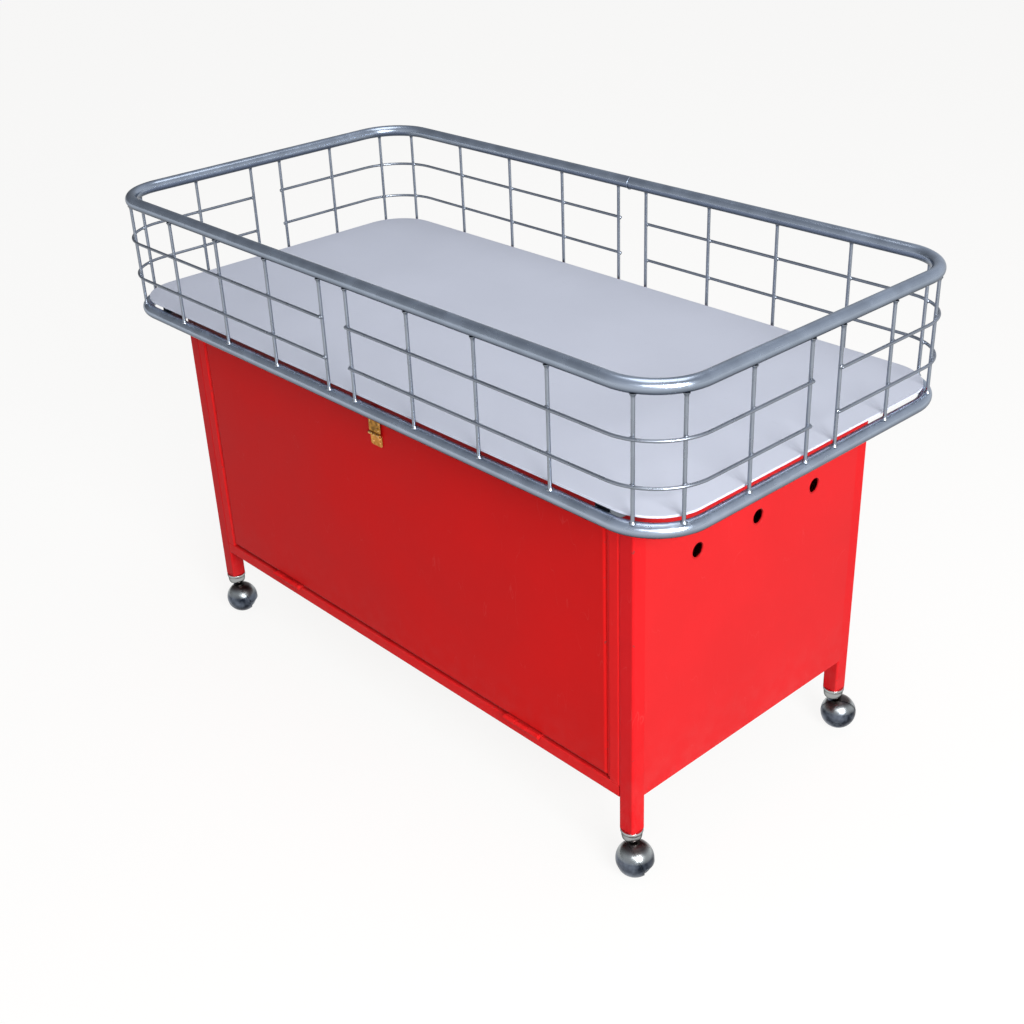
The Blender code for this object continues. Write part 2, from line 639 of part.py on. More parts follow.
def build_hasp():
    """Brass hasp on the door. Its strap folds up over the staple on the top rail."""
    door_axis = bpy.data.objects["door_hinge_axis"]
    strap_axis = add_axis("hasp_axis", (0, HASP_Y, HASP_Z))
    outer, inner = knuckle_spans(0, HASP_WIDTH, 3)
    bore = HASP_PIN + 2 * CLEARANCE
    half = HASP_WIDTH / 2 - CLEARANCE

    leaf_y = FRONT - CLEARANCE - HASP_THICKNESS / 2
    outline = rounded_rectangle(half, HASP_LEAF_HEIGHT / 2, HASP_CORNER, 3)
    leaf = plate([outline], HASP_THICKNESS)
    place(leaf, (0, leaf_y, HASP_Z - HASP_LEAF_HEIGHT / 2), FACE_FRONT)
    leaf = knuckled_leaf(leaf, HASP_Y, HASP_Z, HASP_BARREL, bore, outer, inner)
    add_object("hasp_leaf", smooth(leaf), BRASS, door_axis)

    slot_half_x = STAPLE_EYE / 2 + STAPLE_WIRE + SLOT_CLEARANCE
    slot_half_y = STAPLE_WIRE / 2 + SLOT_CLEARANCE
    length = STAPLE_Z + slot_half_y + STRAP_TIP - HASP_Z
    strap_y = leaf_y - HASP_THICKNESS - CLEARANCE
    outline = rounded_rectangle(half, length / 2, HASP_CORNER, 3)
    strap = plate([outline], HASP_THICKNESS)
    place(strap, (0, strap_y, HASP_Z + length / 2), FACE_FRONT)
    slot = rounded_rectangle(slot_half_x, slot_half_y, slot_half_y * 0.8, 3)
    slot = plate([slot], 2 * HASP_THICKNESS)
    place(slot, (0, strap_y, STAPLE_Z), FACE_FRONT)
    strap = combine(strap, slot, "DIFFERENCE")
    strap = knuckled_leaf(strap, HASP_Y, HASP_Z, HASP_BARREL, bore, inner, outer)
    add_object("hasp_strap", smooth(strap), BRASS, strap_axis)

    pin = place(headed_pin(HASP_PIN, PIN_HEAD / 2, HASP_WIDTH), (0, HASP_Y, HASP_Z))
    add_object("hasp_pin", pin, BRASS, door_axis)

    bend = (STAPLE_EYE + STAPLE_WIRE) / 2
    bend_y = FRONT - STAPLE_REACH + STAPLE_WIRE / 2 + bend
    route = [(bend, leaf_y, STAPLE_Z)]
    for across, along in arc((0, bend_y), bend, 0, -math.pi, ARC_STEPS):
        route.append((across, along, STAPLE_Z))
    route.append((-bend, leaf_y, STAPLE_Z))
    base = rounded_rectangle(STAPLE_PLATE_WIDTH / 2, STAPLE_PLATE_HEIGHT / 2, HASP_CORNER / 2, 3)
    base = place(plate([base], HASP_THICKNESS), (0, leaf_y, STAPLE_Z), FACE_FRONT)
    staple = combine(base, wires([route], STAPLE_WIRE, 8), "UNION")
    add_object("hasp_staple", smooth(staple), BRASS)


def socket_mesh():
    """Turned collar under a leg, with a sleeve that fills the leg's lower end."""
    bore = STEM / 2 + CLEARANCE
    sleeve = LEG / 2 - LEG_WALL - SLEEVE_FIT
    top = LEG_FOOT - CLEARANCE
    bottom = top - COLLAR_HEIGHT
    profile = [
        (sleeve, LEG_FOOT + SLEEVE_HEIGHT),
        (sleeve, top),
        (COLLAR_TOP / 2, top),
        (COLLAR_TOP / 2, top - COLLAR_LIP),
        (COLLAR_BOTTOM / 2, bottom),
        (bore, bottom),
        (bore, LEG_FOOT + SLEEVE_HEIGHT),
    ]
    return smooth(turned(profile, PIN_STEPS))


def axle_frame():
    """Turns a part made along Z to the tilted axle, with its X straight down the ball."""
    lean = math.sin(AXLE_TILT)
    level = math.cos(AXLE_TILT)
    return Matrix(((0, 1, 0), (lean, 0, -level), (-level, 0, -lean)))


def ball_arc(radius, start, end, steps):
    """Profile points on a ball, the angles running from its split towards the hood's pole."""
    points = []
    for step in range(steps + 1):
        angle = start + (end - start) * step / steps
        points.append((radius * math.cos(angle), -radius * math.sin(angle)))
    return points


def hood_mesh():
    """Half-ball shell cut off near its middle, with its axle boss, swivel neck and stem."""
    outer = BALL / 2
    inner = outer - HOOD_WALL
    middle = outer - HOOD_WALL / 2
    ball_middle = (CASTER_TRAIL, 0, BALL_Z)
    profile = [(0, -outer)] + ball_arc(outer, math.pi / 2, CLEARANCE / outer, 6)[1:]
    profile += ball_arc(inner, CLEARANCE / inner, math.pi / 2, 5)[:-1] + [(0, -inner)]
    shell = place(turned(profile, ROUND_STEPS), ball_middle, axle_frame())
    below = box((2 * BALL, 2 * BALL, BALL), (CASTER_TRAIL, 0, BALL_Z - HOOD_SKIRT - BALL / 2))
    shell = combine(shell, below, "DIFFERENCE")

    boss = HOOD_BOSS / 2
    bore = AXLE / 2 + CLEARANCE
    deep = AXLE_IN_HOOD + CLEARANCE
    boss_end = -math.sqrt(middle**2 - boss**2)
    profile = [(0, boss_end), (boss, boss_end), (boss, -CLEARANCE), (bore, -CLEARANCE)]
    profile += [(bore, -deep), (0, -deep)]
    shell = combine(shell, place(turned(profile, PIN_STEPS), ball_middle, axle_frame()), "UNION")

    shoulder = LEG_FOOT - COLLAR_HEIGHT - 2 * CLEARANCE
    stem = [
        (0, LEG_FOOT + SLEEVE_HEIGHT),
        (STEM / 2, LEG_FOOT + SLEEVE_HEIGHT),
        (STEM / 2, shoulder),
        (NECK / 2, shoulder),
        (NECK / 2, BALL_Z),
        (0, BALL_Z),
    ]
    ball = [(0, -middle)] + ball_arc(middle, math.pi / 2, -math.pi / 2, 16)[1:-1] + [(0, middle)]
    ball = place(turned(ball, ROUND_STEPS), ball_middle)
    neck = combine(turned(stem, PIN_STEPS), ball, "DIFFERENCE")
    return smooth(combine(shell, neck, "UNION"))


def wheel_mesh():
    """A dome that rolls on its tread band and a smaller core under the hood, made along Z."""
    radius = BALL / 2
    bore = AXLE / 2 + CLEARANCE
    deep = AXLE_IN_WHEEL + CLEARANCE
    dome = [math.radians(degrees) for degrees in (80, 64, 48)]
    dome += [TREAD_HIGH, TREAD_LOW, math.asin(CLEARANCE / radius)]
    profile = [(0, radius * math.sin(dome[0]))]
    profile += [(radius * math.cos(angle), radius * math.sin(angle)) for angle in dome]
    core = radius - HOOD_WALL - CORE_GAP
    well = HOOD_BOSS / 2 + CORE_GAP
    profile.append((core, CLEARANCE))
    profile += ball_arc(core, CLEARANCE / core, math.acos(well / core), 4)
    profile += [(well, CLEARANCE), (bore, CLEARANCE), (bore, deep), (0, deep)]
    return smooth(turned(profile, ROUND_STEPS, HALF_STEP), 30)


def axle_mesh():
    profile = [
        (0, AXLE_IN_WHEEL),
        (AXLE / 2, AXLE_IN_WHEEL),
        (AXLE / 2, -AXLE_IN_HOOD),
        (0, -AXLE_IN_HOOD),
    ]
    return smooth(turned(profile, PIN_STEPS))


def build_casters():
    """A swivelling ball caster in the lower end of each leg."""
    socket = socket_mesh()
    hood = hood_mesh()
    wheel = wheel_mesh()
    axle = axle_mesh()
    roll = Matrix.Translation((CASTER_TRAIL, 0, BALL_Z)) @ axle_frame().to_4x4()
    for end, sign_y in ENDS.items():
        for side, sign_x in SIDES.items():
            name = f"caster_{end}_{side}"
            stand = Matrix.Translation((sign_x * LEG_X, sign_y * LEG_Y, 0))
            turn = Matrix.Rotation(math.radians(CASTER_TURNS[f"{end}_{side}"]), 4, "Z")
            add_object(f"{name}_socket", socket, CHROME).matrix_world = stand
            add_object(f"{name}_hood", hood, DARK_CHROME).matrix_world = stand @ turn
            add_object(f"{name}_axle", axle, STEEL).matrix_world = stand @ turn @ roll
            add_object(f"{name}_wheel", wheel, DARK_CHROME).matrix_world = stand @ turn @ roll


build_rims()
build_wire_panels()
build_deck()
build_legs()
build_rails()
build_sheets()
build_stiles()
build_door()
build_hasp()
build_casters()
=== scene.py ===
"""Looks of a chrome wire sale bin on a red steel cabinet with ball casters.

Metres, +Z up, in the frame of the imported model. The drop-down door faces -Y.
"""

import json
import math

import bmesh
import bpy
from mathutils import Matrix, Vector


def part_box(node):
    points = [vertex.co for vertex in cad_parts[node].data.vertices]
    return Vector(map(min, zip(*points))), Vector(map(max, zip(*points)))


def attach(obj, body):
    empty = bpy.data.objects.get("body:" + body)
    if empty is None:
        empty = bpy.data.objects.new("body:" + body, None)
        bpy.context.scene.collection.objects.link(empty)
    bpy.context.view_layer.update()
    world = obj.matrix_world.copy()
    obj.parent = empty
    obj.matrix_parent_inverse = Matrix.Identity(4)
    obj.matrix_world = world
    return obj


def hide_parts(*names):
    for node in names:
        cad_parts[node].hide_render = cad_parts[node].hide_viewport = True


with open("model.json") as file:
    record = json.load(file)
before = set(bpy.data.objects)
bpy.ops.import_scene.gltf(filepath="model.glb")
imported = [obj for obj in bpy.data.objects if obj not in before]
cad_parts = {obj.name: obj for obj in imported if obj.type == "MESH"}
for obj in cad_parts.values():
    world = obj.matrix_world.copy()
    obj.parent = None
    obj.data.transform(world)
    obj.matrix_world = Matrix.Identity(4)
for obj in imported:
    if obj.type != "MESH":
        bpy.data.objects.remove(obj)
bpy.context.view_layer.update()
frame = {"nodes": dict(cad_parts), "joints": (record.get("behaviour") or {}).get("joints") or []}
JOINTS = {joint["name"]: joint for joint in frame["joints"]}

GAP = 0.0003  # between pieces that touch

# Basket sizes
TUBE = 0.0095  # radius of the rim tubes
CORNER = 0.077  # of the rims, on the tube's centre line
RIM_BEAD = 0.0006  # radius of the weld bead round a rim's joint
UPRIGHT = 0.0025  # radius
LEVEL = 0.00225  # radius of the level wires
UPRIGHT_OUTSET = 0.003
LEVEL_OUTSET = 0.00695
UPRIGHT_SINK = 0.0008  # of an upright's ends into the rims
LEVEL_DROPS = (0.063, 0.1225)
LONG_GAP = 0.0595
SHORT_GAP = 0.060
LONG_CELLS = 4
SHORT_CELLS = 2
CORNER_UPRIGHT = math.radians(23.5)
SPOT_WELD = (0.0041, 0.0026, 0.0036)  # radii along the wire, outward and up
BAR_WELD = (0.0020, 0.0026, 0.0055)  # radii of the beads at a cross-bar's ends
PLUG_SINK, PLUG_DEPTH, PLUG_EDGE = 0.0008, 0.008, 0.0012
DECK_SOFT = 0.0010  # edge radius of the deck's top
DECK_BACK_SOFT = 0.0007  # chamfer of its underside

# Cabinet sizes
TUBE_WALL = 0.0015
TUBE_EDGE = 0.003  # edge radius of the legs and cross-bars
RAIL_EDGE = 0.002  # edge radius of the rails and stiles
SHEET = 0.0012
LAP = TUBE_EDGE  # of the side and back sheets over the legs' rounded edges
STOP_LAP, STOP_REACH = 0.003, 0.0036  # of a door stop, on its stile and past it
STOP_DEPTHS, STOP_EDGE = (0.0016, 0.013), 0.0004  # the depths are behind the stile's face
SEAM_HALF = 0.0025  # half width of the filled seam between a stile and its leg
SEAM_DEPTHS, SEAM_EDGE = (0.0007, 0.004), 0.0003
VENT = 0.011  # radius
VENT_SPACING = 0.122
VENT_DROP = 0.102  # below the top of a side panel
VENT_COLLAR = (  # radius and height above the sheet, round the rolled collar
    (0.0124, 0.0), (0.0119, 0.0004), (0.0112, 0.0005), (0.0106, 0.0001),
    (0.0103, -0.0008), (0.0102, -0.0020), (0.0106, -0.0020), (0.0109, -0.0012),
)
ROW_INSET, ROW_GAPS = 0.02, 8  # the level rows of rivets on the back
ROW_RISE, ROW_DROP = 0.010, 0.025
COLUMN_INSET, COLUMN_GAPS = 0.008, 4  # its upright rows
BACK_RIVET = (0.0032, 0.0012)  # radius and height
DOOR_EDGE = 0.006  # radius of the door's front edge
DOOR_LIP = 0.012  # width of the folded lip behind the door's edge
DOOR_FOLD = 0.0008  # chamfer where the lip is folded
DOOR_CORNER, DOOR_INNER_CORNER = 0.0030, 0.0004  # radii in front view
STIFFENER_X, STIFFENER_INSET = 0.22, 0.014
HAT_HALF, HAT_FOOT, HAT_TOP, HAT_RISE = 0.030, 0.018, 0.014, 0.0095  # a stiffener's section
HAT_SLOPE = 0.001  # width that the sheet's thickness adds to each slope

# Hinge and hasp sizes
HINGE_BARREL = 0.004  # radius
LEAF_EDGE = 0.0003
WEB_LAP, WEB_EDGE = 0.001, 0.0002  # the webs that join knuckles to leaves
PIN_HEAD, PIN_END = 0.0015, 0.001  # height of a hinge pin's heads, and how far in its rod ends
PIN_ROD = 0.7  # the rod's radius as a share of the heads'
KNUCKLE_SOFT = 0.12  # of a knuckle's ends, as a share of its radius
HASP_BARREL = 0.003  # radius
HASP_SHEET, HASP_SOFT = 0.0015, 0.0004
LEAF_CORNER, KNUCKLE_PLAY = 0.004, 0.0004
LEAF_SCREW, LEAF_SCREW_X, LEAF_SCREW_RISES = 0.0024, 0.0075, (0.0055, 0.0125)
STRAP_CORNER = 0.006
SLOT_X, SLOT_Z, SLOT_CORNER = 0.0075, 0.00325, 0.0030  # half sizes and corner radius
RIDGE, RIDGE_X, RIDGE_SINK = 0.0013, 0.0100, 0.0006
RIDGE_RISE, RIDGE_DROP = 0.014, 0.006  # from the pin, and from the strap's top
STRAP_RIVET, STRAP_RIVET_X, STRAP_RIVET_RISE = (0.0036, 0.0014), 0.0075, 0.0090
LOOP_WIRE, LOOP_BEND = 0.00125, 0.00425  # radii
STAPLE_CORNER, STAPLE_RIVET, STAPLE_RIVET_X = 0.002, (0.0022, 0.0010), 0.0085

# A bar's taper: distances from its end with shares of its radius
UPRIGHT_FLARE = ((0.0, 1.75), (0.0012, 1.75), (0.0022, 1.35), (0.0038, 1.1), (0.0060, 1.0))
LEVEL_TAPER = ((0.0, 0.55), (0.0005, 0.85), (0.0015, 1.0))
RIDGE_TAPER = ((0.0, 0.2), (0.0010, 0.8), (0.0025, 1.0))
HASP_PIN_TAPER = ((0.0, 0.4), (0.0003, 0.85), (0.0006, 1.0), (0.00075, 0.75))

# Heads: a rivet's in shares of its radius and height, a screw's in shares of its radius and metres
RIVET_DOME = ((0.0, 1.0), (0.45, 0.9), (0.8, 0.55), (1.0, 0.0), (0.0, 0.0))
SCREW_HEAD = ((0.0, 0.00015), (0.9, 0.00035), (1.0, 0.0), (1.0, -0.0004), (0.0, -0.0004))
CROSS_ARM, CROSS_HALF, CROSS_TURN = 0.62, 0.0003, 0.4  # a share of the radius, metres, radians
CROSS_LEVELS = (0.0002, 0.00042)

# Caster sizes, where a share is one of the ball's radius
HOOD_WALL = 0.0012
HOOD_SKIRT = 0.003  # how far the hood reaches below the ball's middle
HOOD_BEAD, HOOD_BEAD_SINK = 0.0009, 0.6  # radius of its rolled rim, and the share of it let in
HOOD_TOP, HOOD_MOUTH = -86, -1.2  # degrees from the ball's split
NECK, STEM = 0.0075, 0.0049  # radii
NECK_SOFT, NECK_PLAY = 0.0003, 0.0004
STEM_RISE = 0.030
BALL_SPLIT = 0.0006  # from the ball's middle to the wheel's flat
DOME, CORE, RIM_ROUND = (76, 5.3), (0, -70), (1.9, 4.1)  # degrees from the ball's split
HUB = ((0.0, 0.958), (0.0030, 0.952), (0.0046, 0.940), (0.0050, 0.955))  # metres and shares
GROOVE = ((0.982, 0.090), (0.982, 0.078), (0.0, 0.078))  # shares
BEAD_INNER, BEAD_FOOT, BEAD_TOP, BEAD_RISE = 0.90, 0.990, 0.985, 0.077  # shares
SLEEVE, BORE, CUP_FOOT = 0.0100, 0.0053, 0.0128  # radii of a collar
CUP_TOP, CUP_LIP = 0.0172, 0.0060  # height, and the depth of its lip
LIP_STRAIGHT, LIP_TURN, LIP_STEP = 0.6, 0.75, 0.0007  # shares of the lip, and how far it steps in
CUP_SOFT, CUP_ROUND = 0.0006, 0.0012  # edge radii at its top and foot

# Flat sides of round forms
ARC_STEPS = 24
RIM_SIDES, WIRE_SIDES, PIN_SIDES = 28, 14, 20
VENT_SIDES, BALL_SIDES, NECK_SIDES = 48, 64, 32

ENDS = {"front": -1, "back": 1}
SIDES = {"left": -1, "right": 1}
UP = Vector((0, 0, 1))
ALONG_X = Vector((1, 0, 0))
ALONG_Y = Vector((0, 1, 0))

# A plate's outline lies in X and Y. These turn it to face up or to a side of the bin.
FACE_UP = Matrix.Identity(3)
FACE_FRONT = Matrix(((1, 0, 0), (0, 0, -1), (0, 1, 0)))
FACE_SIDE = Matrix(((0, 0, 1), (1, 0, 0), (0, 1, 0)))
LIE_ALONG_X = Matrix.Rotation(math.pi / 2, 3, "Y")


# Outlines and meshes

def arc(centre, radius, start, end, steps):
    points = []
    for step in range(steps + 1):
        angle = start + (end - start) * step / steps
        points.append((centre[0] + radius * math.cos(angle), centre[1] + radius * math.sin(angle)))
    return points


def rectangle(half_x, half_y):
    return [(half_x, half_y), (-half_x, half_y), (-half_x, -half_y), (half_x, -half_y)]


def rounded_outline(half_x, half_y, radius, steps):
    """Rectangle with round corners, anticlockwise from +X +Y."""
    outline = []
    for quarter, centre in enumerate(rectangle(half_x - radius, half_y - radius)):
        start = quarter * math.pi / 2
        outline += arc(centre, radius, start, start + math.pi / 2, steps)
    return outline


def circle(centre, radius, steps):
    return arc(centre, radius, 0, math.tau * (steps - 1) / steps, steps - 1)


def facing(spot, outward):
    """Moves a form to a spot and turns its Z to a direction."""
    return Matrix.Translation(spot) @ Vector(outward).to_track_quat("Z", "Y").to_matrix().to_4x4()


def new_object(name, data):
    obj = bpy.data.objects.new(name, data)
    bpy.context.scene.collection.objects.link(obj)
    return obj


def loft(work, rings, closed=False):
    """Skin a list of point rings that all have the same count, with caps unless it is closed."""
    rows = [[work.verts.new(point) for point in ring] for ring in rings]
    pairs = list(zip(rows, rows[1:])) + ([(rows[-1], rows[0])] if closed else [])
    for first, second in pairs:
        count = len(first)
        for index in range(count):
            after = (index + 1) % count
            work.faces.new((first[index], first[after], second[after], second[index]))
    if not closed:
        work.faces.new(rows[0][::-1])
        work.faces.new(rows[-1])


def tube(work, route, radius, sides, up=UP, closed=False):
    """A round bar along points. The radius is one value or one for each point."""
    route = [Vector(point) for point in route]
    radii = radius if isinstance(radius, list) else [radius] * len(route)
    count = len(route)
    rings = []
    for index, point in enumerate(route):
        before = route[index - 1] if index or closed else point
        after = route[(index + 1) % count] if index + 1 < count or closed else point
        along = (after - before).normalized()
        side = along.cross(up).normalized()
        top = side.cross(along)
        ring = []
        for step in range(sides):
            angle = math.tau * step / sides
            ring.append(point + radii[index] * (math.cos(angle) * side + math.sin(angle) * top))
        rings.append(ring)
    loft(work, rings, closed)


def tapered(work, point_at, low, high, taper, radius, sides, up=UP, bends=()):
    """A round bar from low to high with the same taper at both ends. point_at places a distance."""
    along = [(low + step, share) for step, share in taper]
    along += [(distance, 1.0) for distance in bends]
    along += [(high - step, share) for step, share in reversed(taper)]
    route = [point_at(distance) for distance, share in along]
    tube(work, route, [radius * share for distance, share in along], sides, up)


def turned(work, profile, steps, matrix):
    """Turn an (r, z) profile about Z. A profile point on the axis closes that end."""
    on_axis = 1e-7
    rows = []
    for radius, height in profile:
        if radius < on_axis:
            rows.append([work.verts.new(matrix @ Vector((0, 0, height)))])
            continue
        ring = circle((0, 0), radius, steps)
        rows.append([work.verts.new(matrix @ Vector((x, y, height))) for x, y in ring])
    if profile[0][0] >= on_axis:
        rows.append(rows[0])
    for first, second in zip(rows, rows[1:]):
        for index in range(steps):
            after = (index + 1) % steps
            corners = [first[index % len(first)], first[after % len(first)]]
            corners += [second[after % len(second)], second[index % len(second)]]
            work.faces.new(list(dict.fromkeys(corners)))


def ellipsoid(work, centre, radii, directions, steps=8, sides=12):
    """A squashed ball with its three radii in given directions."""
    axes = Matrix([axis * size for axis, size in zip(directions, radii)]).transposed()
    angles = [math.pi * step / steps for step in range(1, steps)]
    profile = [(0, -1), *((math.sin(angle), -math.cos(angle)) for angle in angles), (0, 1)]
    turned(work, profile, sides, Matrix.Translation(centre) @ axes.to_4x4())


def block(work, corner, opposite, edge):
    """A box between two corners with rounded edges."""
    spans = [sorted(ends) for ends in zip(corner, opposite)]
    low, high = (Vector(ends) for ends in zip(*spans))
    made = bmesh.ops.create_cube(work, size=1.0)["verts"]
    bmesh.ops.scale(work, vec=high - low, verts=made)
    bmesh.ops.translate(work, vec=(low + high) / 2, verts=made)
    edges = list(dict.fromkeys(e for v in made for e in v.link_edges))
    bmesh.ops.bevel(work, geom=edges, offset=edge, segments=3, profile=0.5, affect="EDGES")


def plate(outlines, thickness, middle, turn, edge=0.0):
    """A working mesh of a flat sheet with soft edges. Outlines after the first are holes."""
    curve = bpy.data.curves.new("outline", "CURVE")
    curve.dimensions = "2D"
    curve.fill_mode = "BOTH"
    curve.extrude = thickness / 2 - edge
    curve.bevel_depth = edge
    curve.bevel_resolution = 2
    curve.offset = -edge
    for outline in outlines:
        spline = curve.splines.new("POLY")
        spline.points.add(len(outline) - 1)
        for point, (x, y) in zip(spline.points, outline):
            point.co = (x, y, 0, 1)
        spline.use_cyclic_u = True
    obj = new_object("outline", curve)
    bpy.context.view_layer.update()
    graph = bpy.context.evaluated_depsgraph_get()
    mesh = bpy.data.meshes.new_from_object(obj.evaluated_get(graph))
    bpy.data.objects.remove(obj, do_unlink=True)
    mesh.transform(Matrix.Translation(middle) @ turn.to_4x4())
    work = bmesh.new()
    work.from_mesh(mesh)
    return work


def piece(name, work, finish, body, nodes=(), angle=40):
    """Make a piece of the bin from a working mesh, on its body and in place of its CAD nodes."""
    same_point, flat_face = 1e-6, 0.996
    bmesh.ops.remove_doubles(work, verts=work.verts, dist=same_point)
    bmesh.ops.recalc_face_normals(work, faces=work.faces)
    mesh = bpy.data.meshes.new(name)
    work.to_mesh(mesh)
    work.free()
    mesh.materials.append(finish)
    mesh.shade_smooth()
    mesh.set_sharp_from_angle(angle=math.radians(angle))
    worn = mesh.attributes.new("edge", "FLOAT", "FACE")
    for polygon in mesh.polygons:
        squareness = max(abs(part) for part in polygon.normal)
        worn.data[polygon.index].value = 1.0 if squareness < flat_face else 0.0
    obj = new_object(name, mesh)
    even = obj.modifiers.new("even_shading", "WEIGHTED_NORMAL")
    even.keep_sharp = True
    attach(obj, body)
    if nodes:
        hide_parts(*nodes)


def repaint(node, finish):
    """Give its finish to a piece that keeps its CAD shape."""
    materials = frame["nodes"][node].data.materials
    materials.clear()
    materials.append(finish)


# Shader nodes

def link_or_set(tree, socket, value):
    if isinstance(value, bpy.types.NodeSocket):
        tree.links.new(value, socket)
    else:
        socket.default_value = value


def add(tree, kind, inputs=None, **settings):
    """A shader node with its inputs set or linked."""
    node = tree.nodes.new("ShaderNode" + kind)
    for key, value in settings.items():
        setattr(node, key, value)
    for key, value in (inputs or {}).items():
        link_or_set(tree, node.inputs[key], value)
    return node


def maths(tree, operation, first, second=0.0):
    return add(tree, "Math", {0: first, 1: second}, operation=operation).outputs[0]


def plus(tree, value, mask, share):
    """A value with a share of a mask added."""
    return maths(tree, "ADD", value, maths(tree, "MULTIPLY", mask, share))


def span(tree, value, low, high, to_low=0.0, to_high=1.0):
    """Map a value between two limits to two others, held at both ends."""
    limits = {"From Min": low, "From Max": high, "To Min": to_low, "To Max": to_high}
    return add(tree, "MapRange", {"Value": value, **limits}).outputs["Result"]


def colour(red, green, blue):
    return (red, green, blue, 1.0)


def blend(tree, factor, first, second):
    """Mix two colours, each of them red, green and blue or a node's output."""
    node = add(tree, "Mix", {0: factor}, data_type="RGBA")
    first_colour, second_colour, result = 6, 7, 2  # a Mix node's sockets for colours
    for index, value in ((first_colour, first), (second_colour, second)):
        value = colour(*value) if isinstance(value, tuple) else value
        link_or_set(tree, node.inputs[index], value)
    return node.outputs[result]


def tint(tree, base, other, mask, share):
    """Move a colour towards another by a share of a mask."""
    return blend(tree, maths(tree, "MULTIPLY", mask, share), base, other)


def position(tree):
    return add(tree, "TexCoord").outputs["Object"]


def noise(tree, vector, scale, detail=3.0):
    inputs = {"Vector": vector, "Scale": scale, "Detail": detail}
    return add(tree, "TexNoise", inputs).outputs[0]


# Effects that finishes share

def new_effect(value_of, output, **inputs):
    """A shader node group with named inputs. A function makes its one output value of them."""
    group = bpy.data.node_groups.new(value_of.__name__, "ShaderNodeTree")
    for label, default in inputs.items():
        kind = "NodeSocketVector" if isinstance(default, tuple) else "NodeSocketFloat"
        socket = group.interface.new_socket(label, in_out="INPUT", socket_type=kind)
        socket.default_value = default
    group.interface.new_socket(output, in_out="OUTPUT", socket_type="NodeSocketFloat")
    given = group.nodes.new("NodeGroupInput").outputs
    out = group.nodes.new("NodeGroupOutput").inputs[0]
    group.links.new(value_of(group, given), out)
    return group


def blotches(tree, given):
    """Soft uneven patches."""
    cloud = noise(tree, position(tree), given["Scale"], detail=4.0)
    return span(tree, cloud, 0.35, 0.65)


def hairlines(tree, given):
    """Thin broken scratches, stretched along the axes that have small values."""
    spot = position(tree)
    stretched = add(tree, "VectorMath", {0: spot, 1: given["Stretch"]}, operation="MULTIPLY")
    line = noise(tree, stretched.outputs[0], given["Scale"], detail=2.0)
    middle = 0.5  # of a noise
    distance = maths(tree, "ABSOLUTE", maths(tree, "SUBTRACT", line, middle))
    drawn = span(tree, distance, 0.0, given["Width"], to_low=1.0, to_high=0.0)
    broken = span(tree, noise(tree, spot, scale=35.0), middle, 0.62)
    return maths(tree, "MULTIPLY", drawn, broken)


def worn_edges(tree, given):
    """Where the finish has gone from rounded edges."""
    edge = add(tree, "Attribute", attribute_name="edge").outputs["Fac"]
    patchy = noise(tree, position(tree), given["Scale"], detail=4.0)
    unworn, reach, softness = 0.78, 0.4, 0.05  # the limit at no wear, its fall at full, its blur
    limit = maths(tree, "SUBTRACT", unworn, maths(tree, "MULTIPLY", given["Amount"], reach))
    gone = span(tree, maths(tree, "SUBTRACT", patchy, limit), 0.0, softness)
    return maths(tree, "MULTIPLY", gone, edge)


def orange_peel(tree, given):
    """The fine waviness of sprayed paint."""
    return noise(tree, position(tree), given["Scale"], detail=2.0)


def low_dust(tree, given):
    """Dust that thins out upwards from the floor."""
    spot = position(tree)
    height = add(tree, "SeparateXYZ", {0: spot}).outputs["Z"]
    thinning = span(tree, height, 0.0, given["Top"], to_low=1.0, to_high=0.0)
    broken = span(tree, noise(tree, spot, scale=45.0, detail=5.0), 0.4, 0.7)
    return maths(tree, "MULTIPLY", thinning, broken)


def underside(tree, given):
    """One on faces that look up, falling to zero on those that look down. The finishes use it for
    painted shade and painted reflection.
    """
    normal = add(tree, "NewGeometry").outputs["Normal"]
    height = add(tree, "SeparateXYZ", {0: normal}).outputs["Z"]
    return span(tree, height, given["Down"], given["Upward"])


def deck_shade(tree, given):
    """Painted shadow on what stands close under the deck, heavier towards the left end."""
    parts = add(tree, "SeparateXYZ", {0: position(tree)}).outputs
    fade, half_length = 0.012, 0.5  # metres
    full = maths(tree, "ADD", given["Start"], fade)
    rise = span(tree, parts["Z"], given["Start"], full)
    along = span(tree, parts["X"], -half_length, half_length, given["Left"], given["Right"])
    return maths(tree, "MULTIPLY", rise, along)


BLOTCHES = new_effect(blotches, "Value", Scale=20.0)
HAIRLINES = new_effect(hairlines, "Mask", Stretch=(1.0, 1.0, 1.0), Scale=60.0, Width=0.02)
WORN_EDGES = new_effect(worn_edges, "Mask", Amount=0.4, Scale=120.0)
ORANGE_PEEL = new_effect(orange_peel, "Height", Scale=300.0)
LOW_DUST = new_effect(low_dust, "Mask", Top=0.3)
UNDERSIDE = new_effect(underside, "Value", Down=-0.9, Upward=0.5)
DECK_SHADE = new_effect(deck_shade, "Mask", Start=0.54, Left=0.85, Right=0.45)


# Finishes

def effect(tree, group, **values):
    node = tree.nodes.new("ShaderNodeGroup")
    node.node_tree = group
    for label, value in values.items():
        node.inputs[label].default_value = value
    return node.outputs[0]


def new_finish(name, **sockets):
    """A material with values set on its shader's own sockets."""
    material = bpy.data.materials.new(name)
    material.use_nodes = True
    shader = material.node_tree.nodes["Principled BSDF"]
    for label, value in sockets.items():
        shader.inputs[label.replace("_", " ")].default_value = value
    return material, material.node_tree


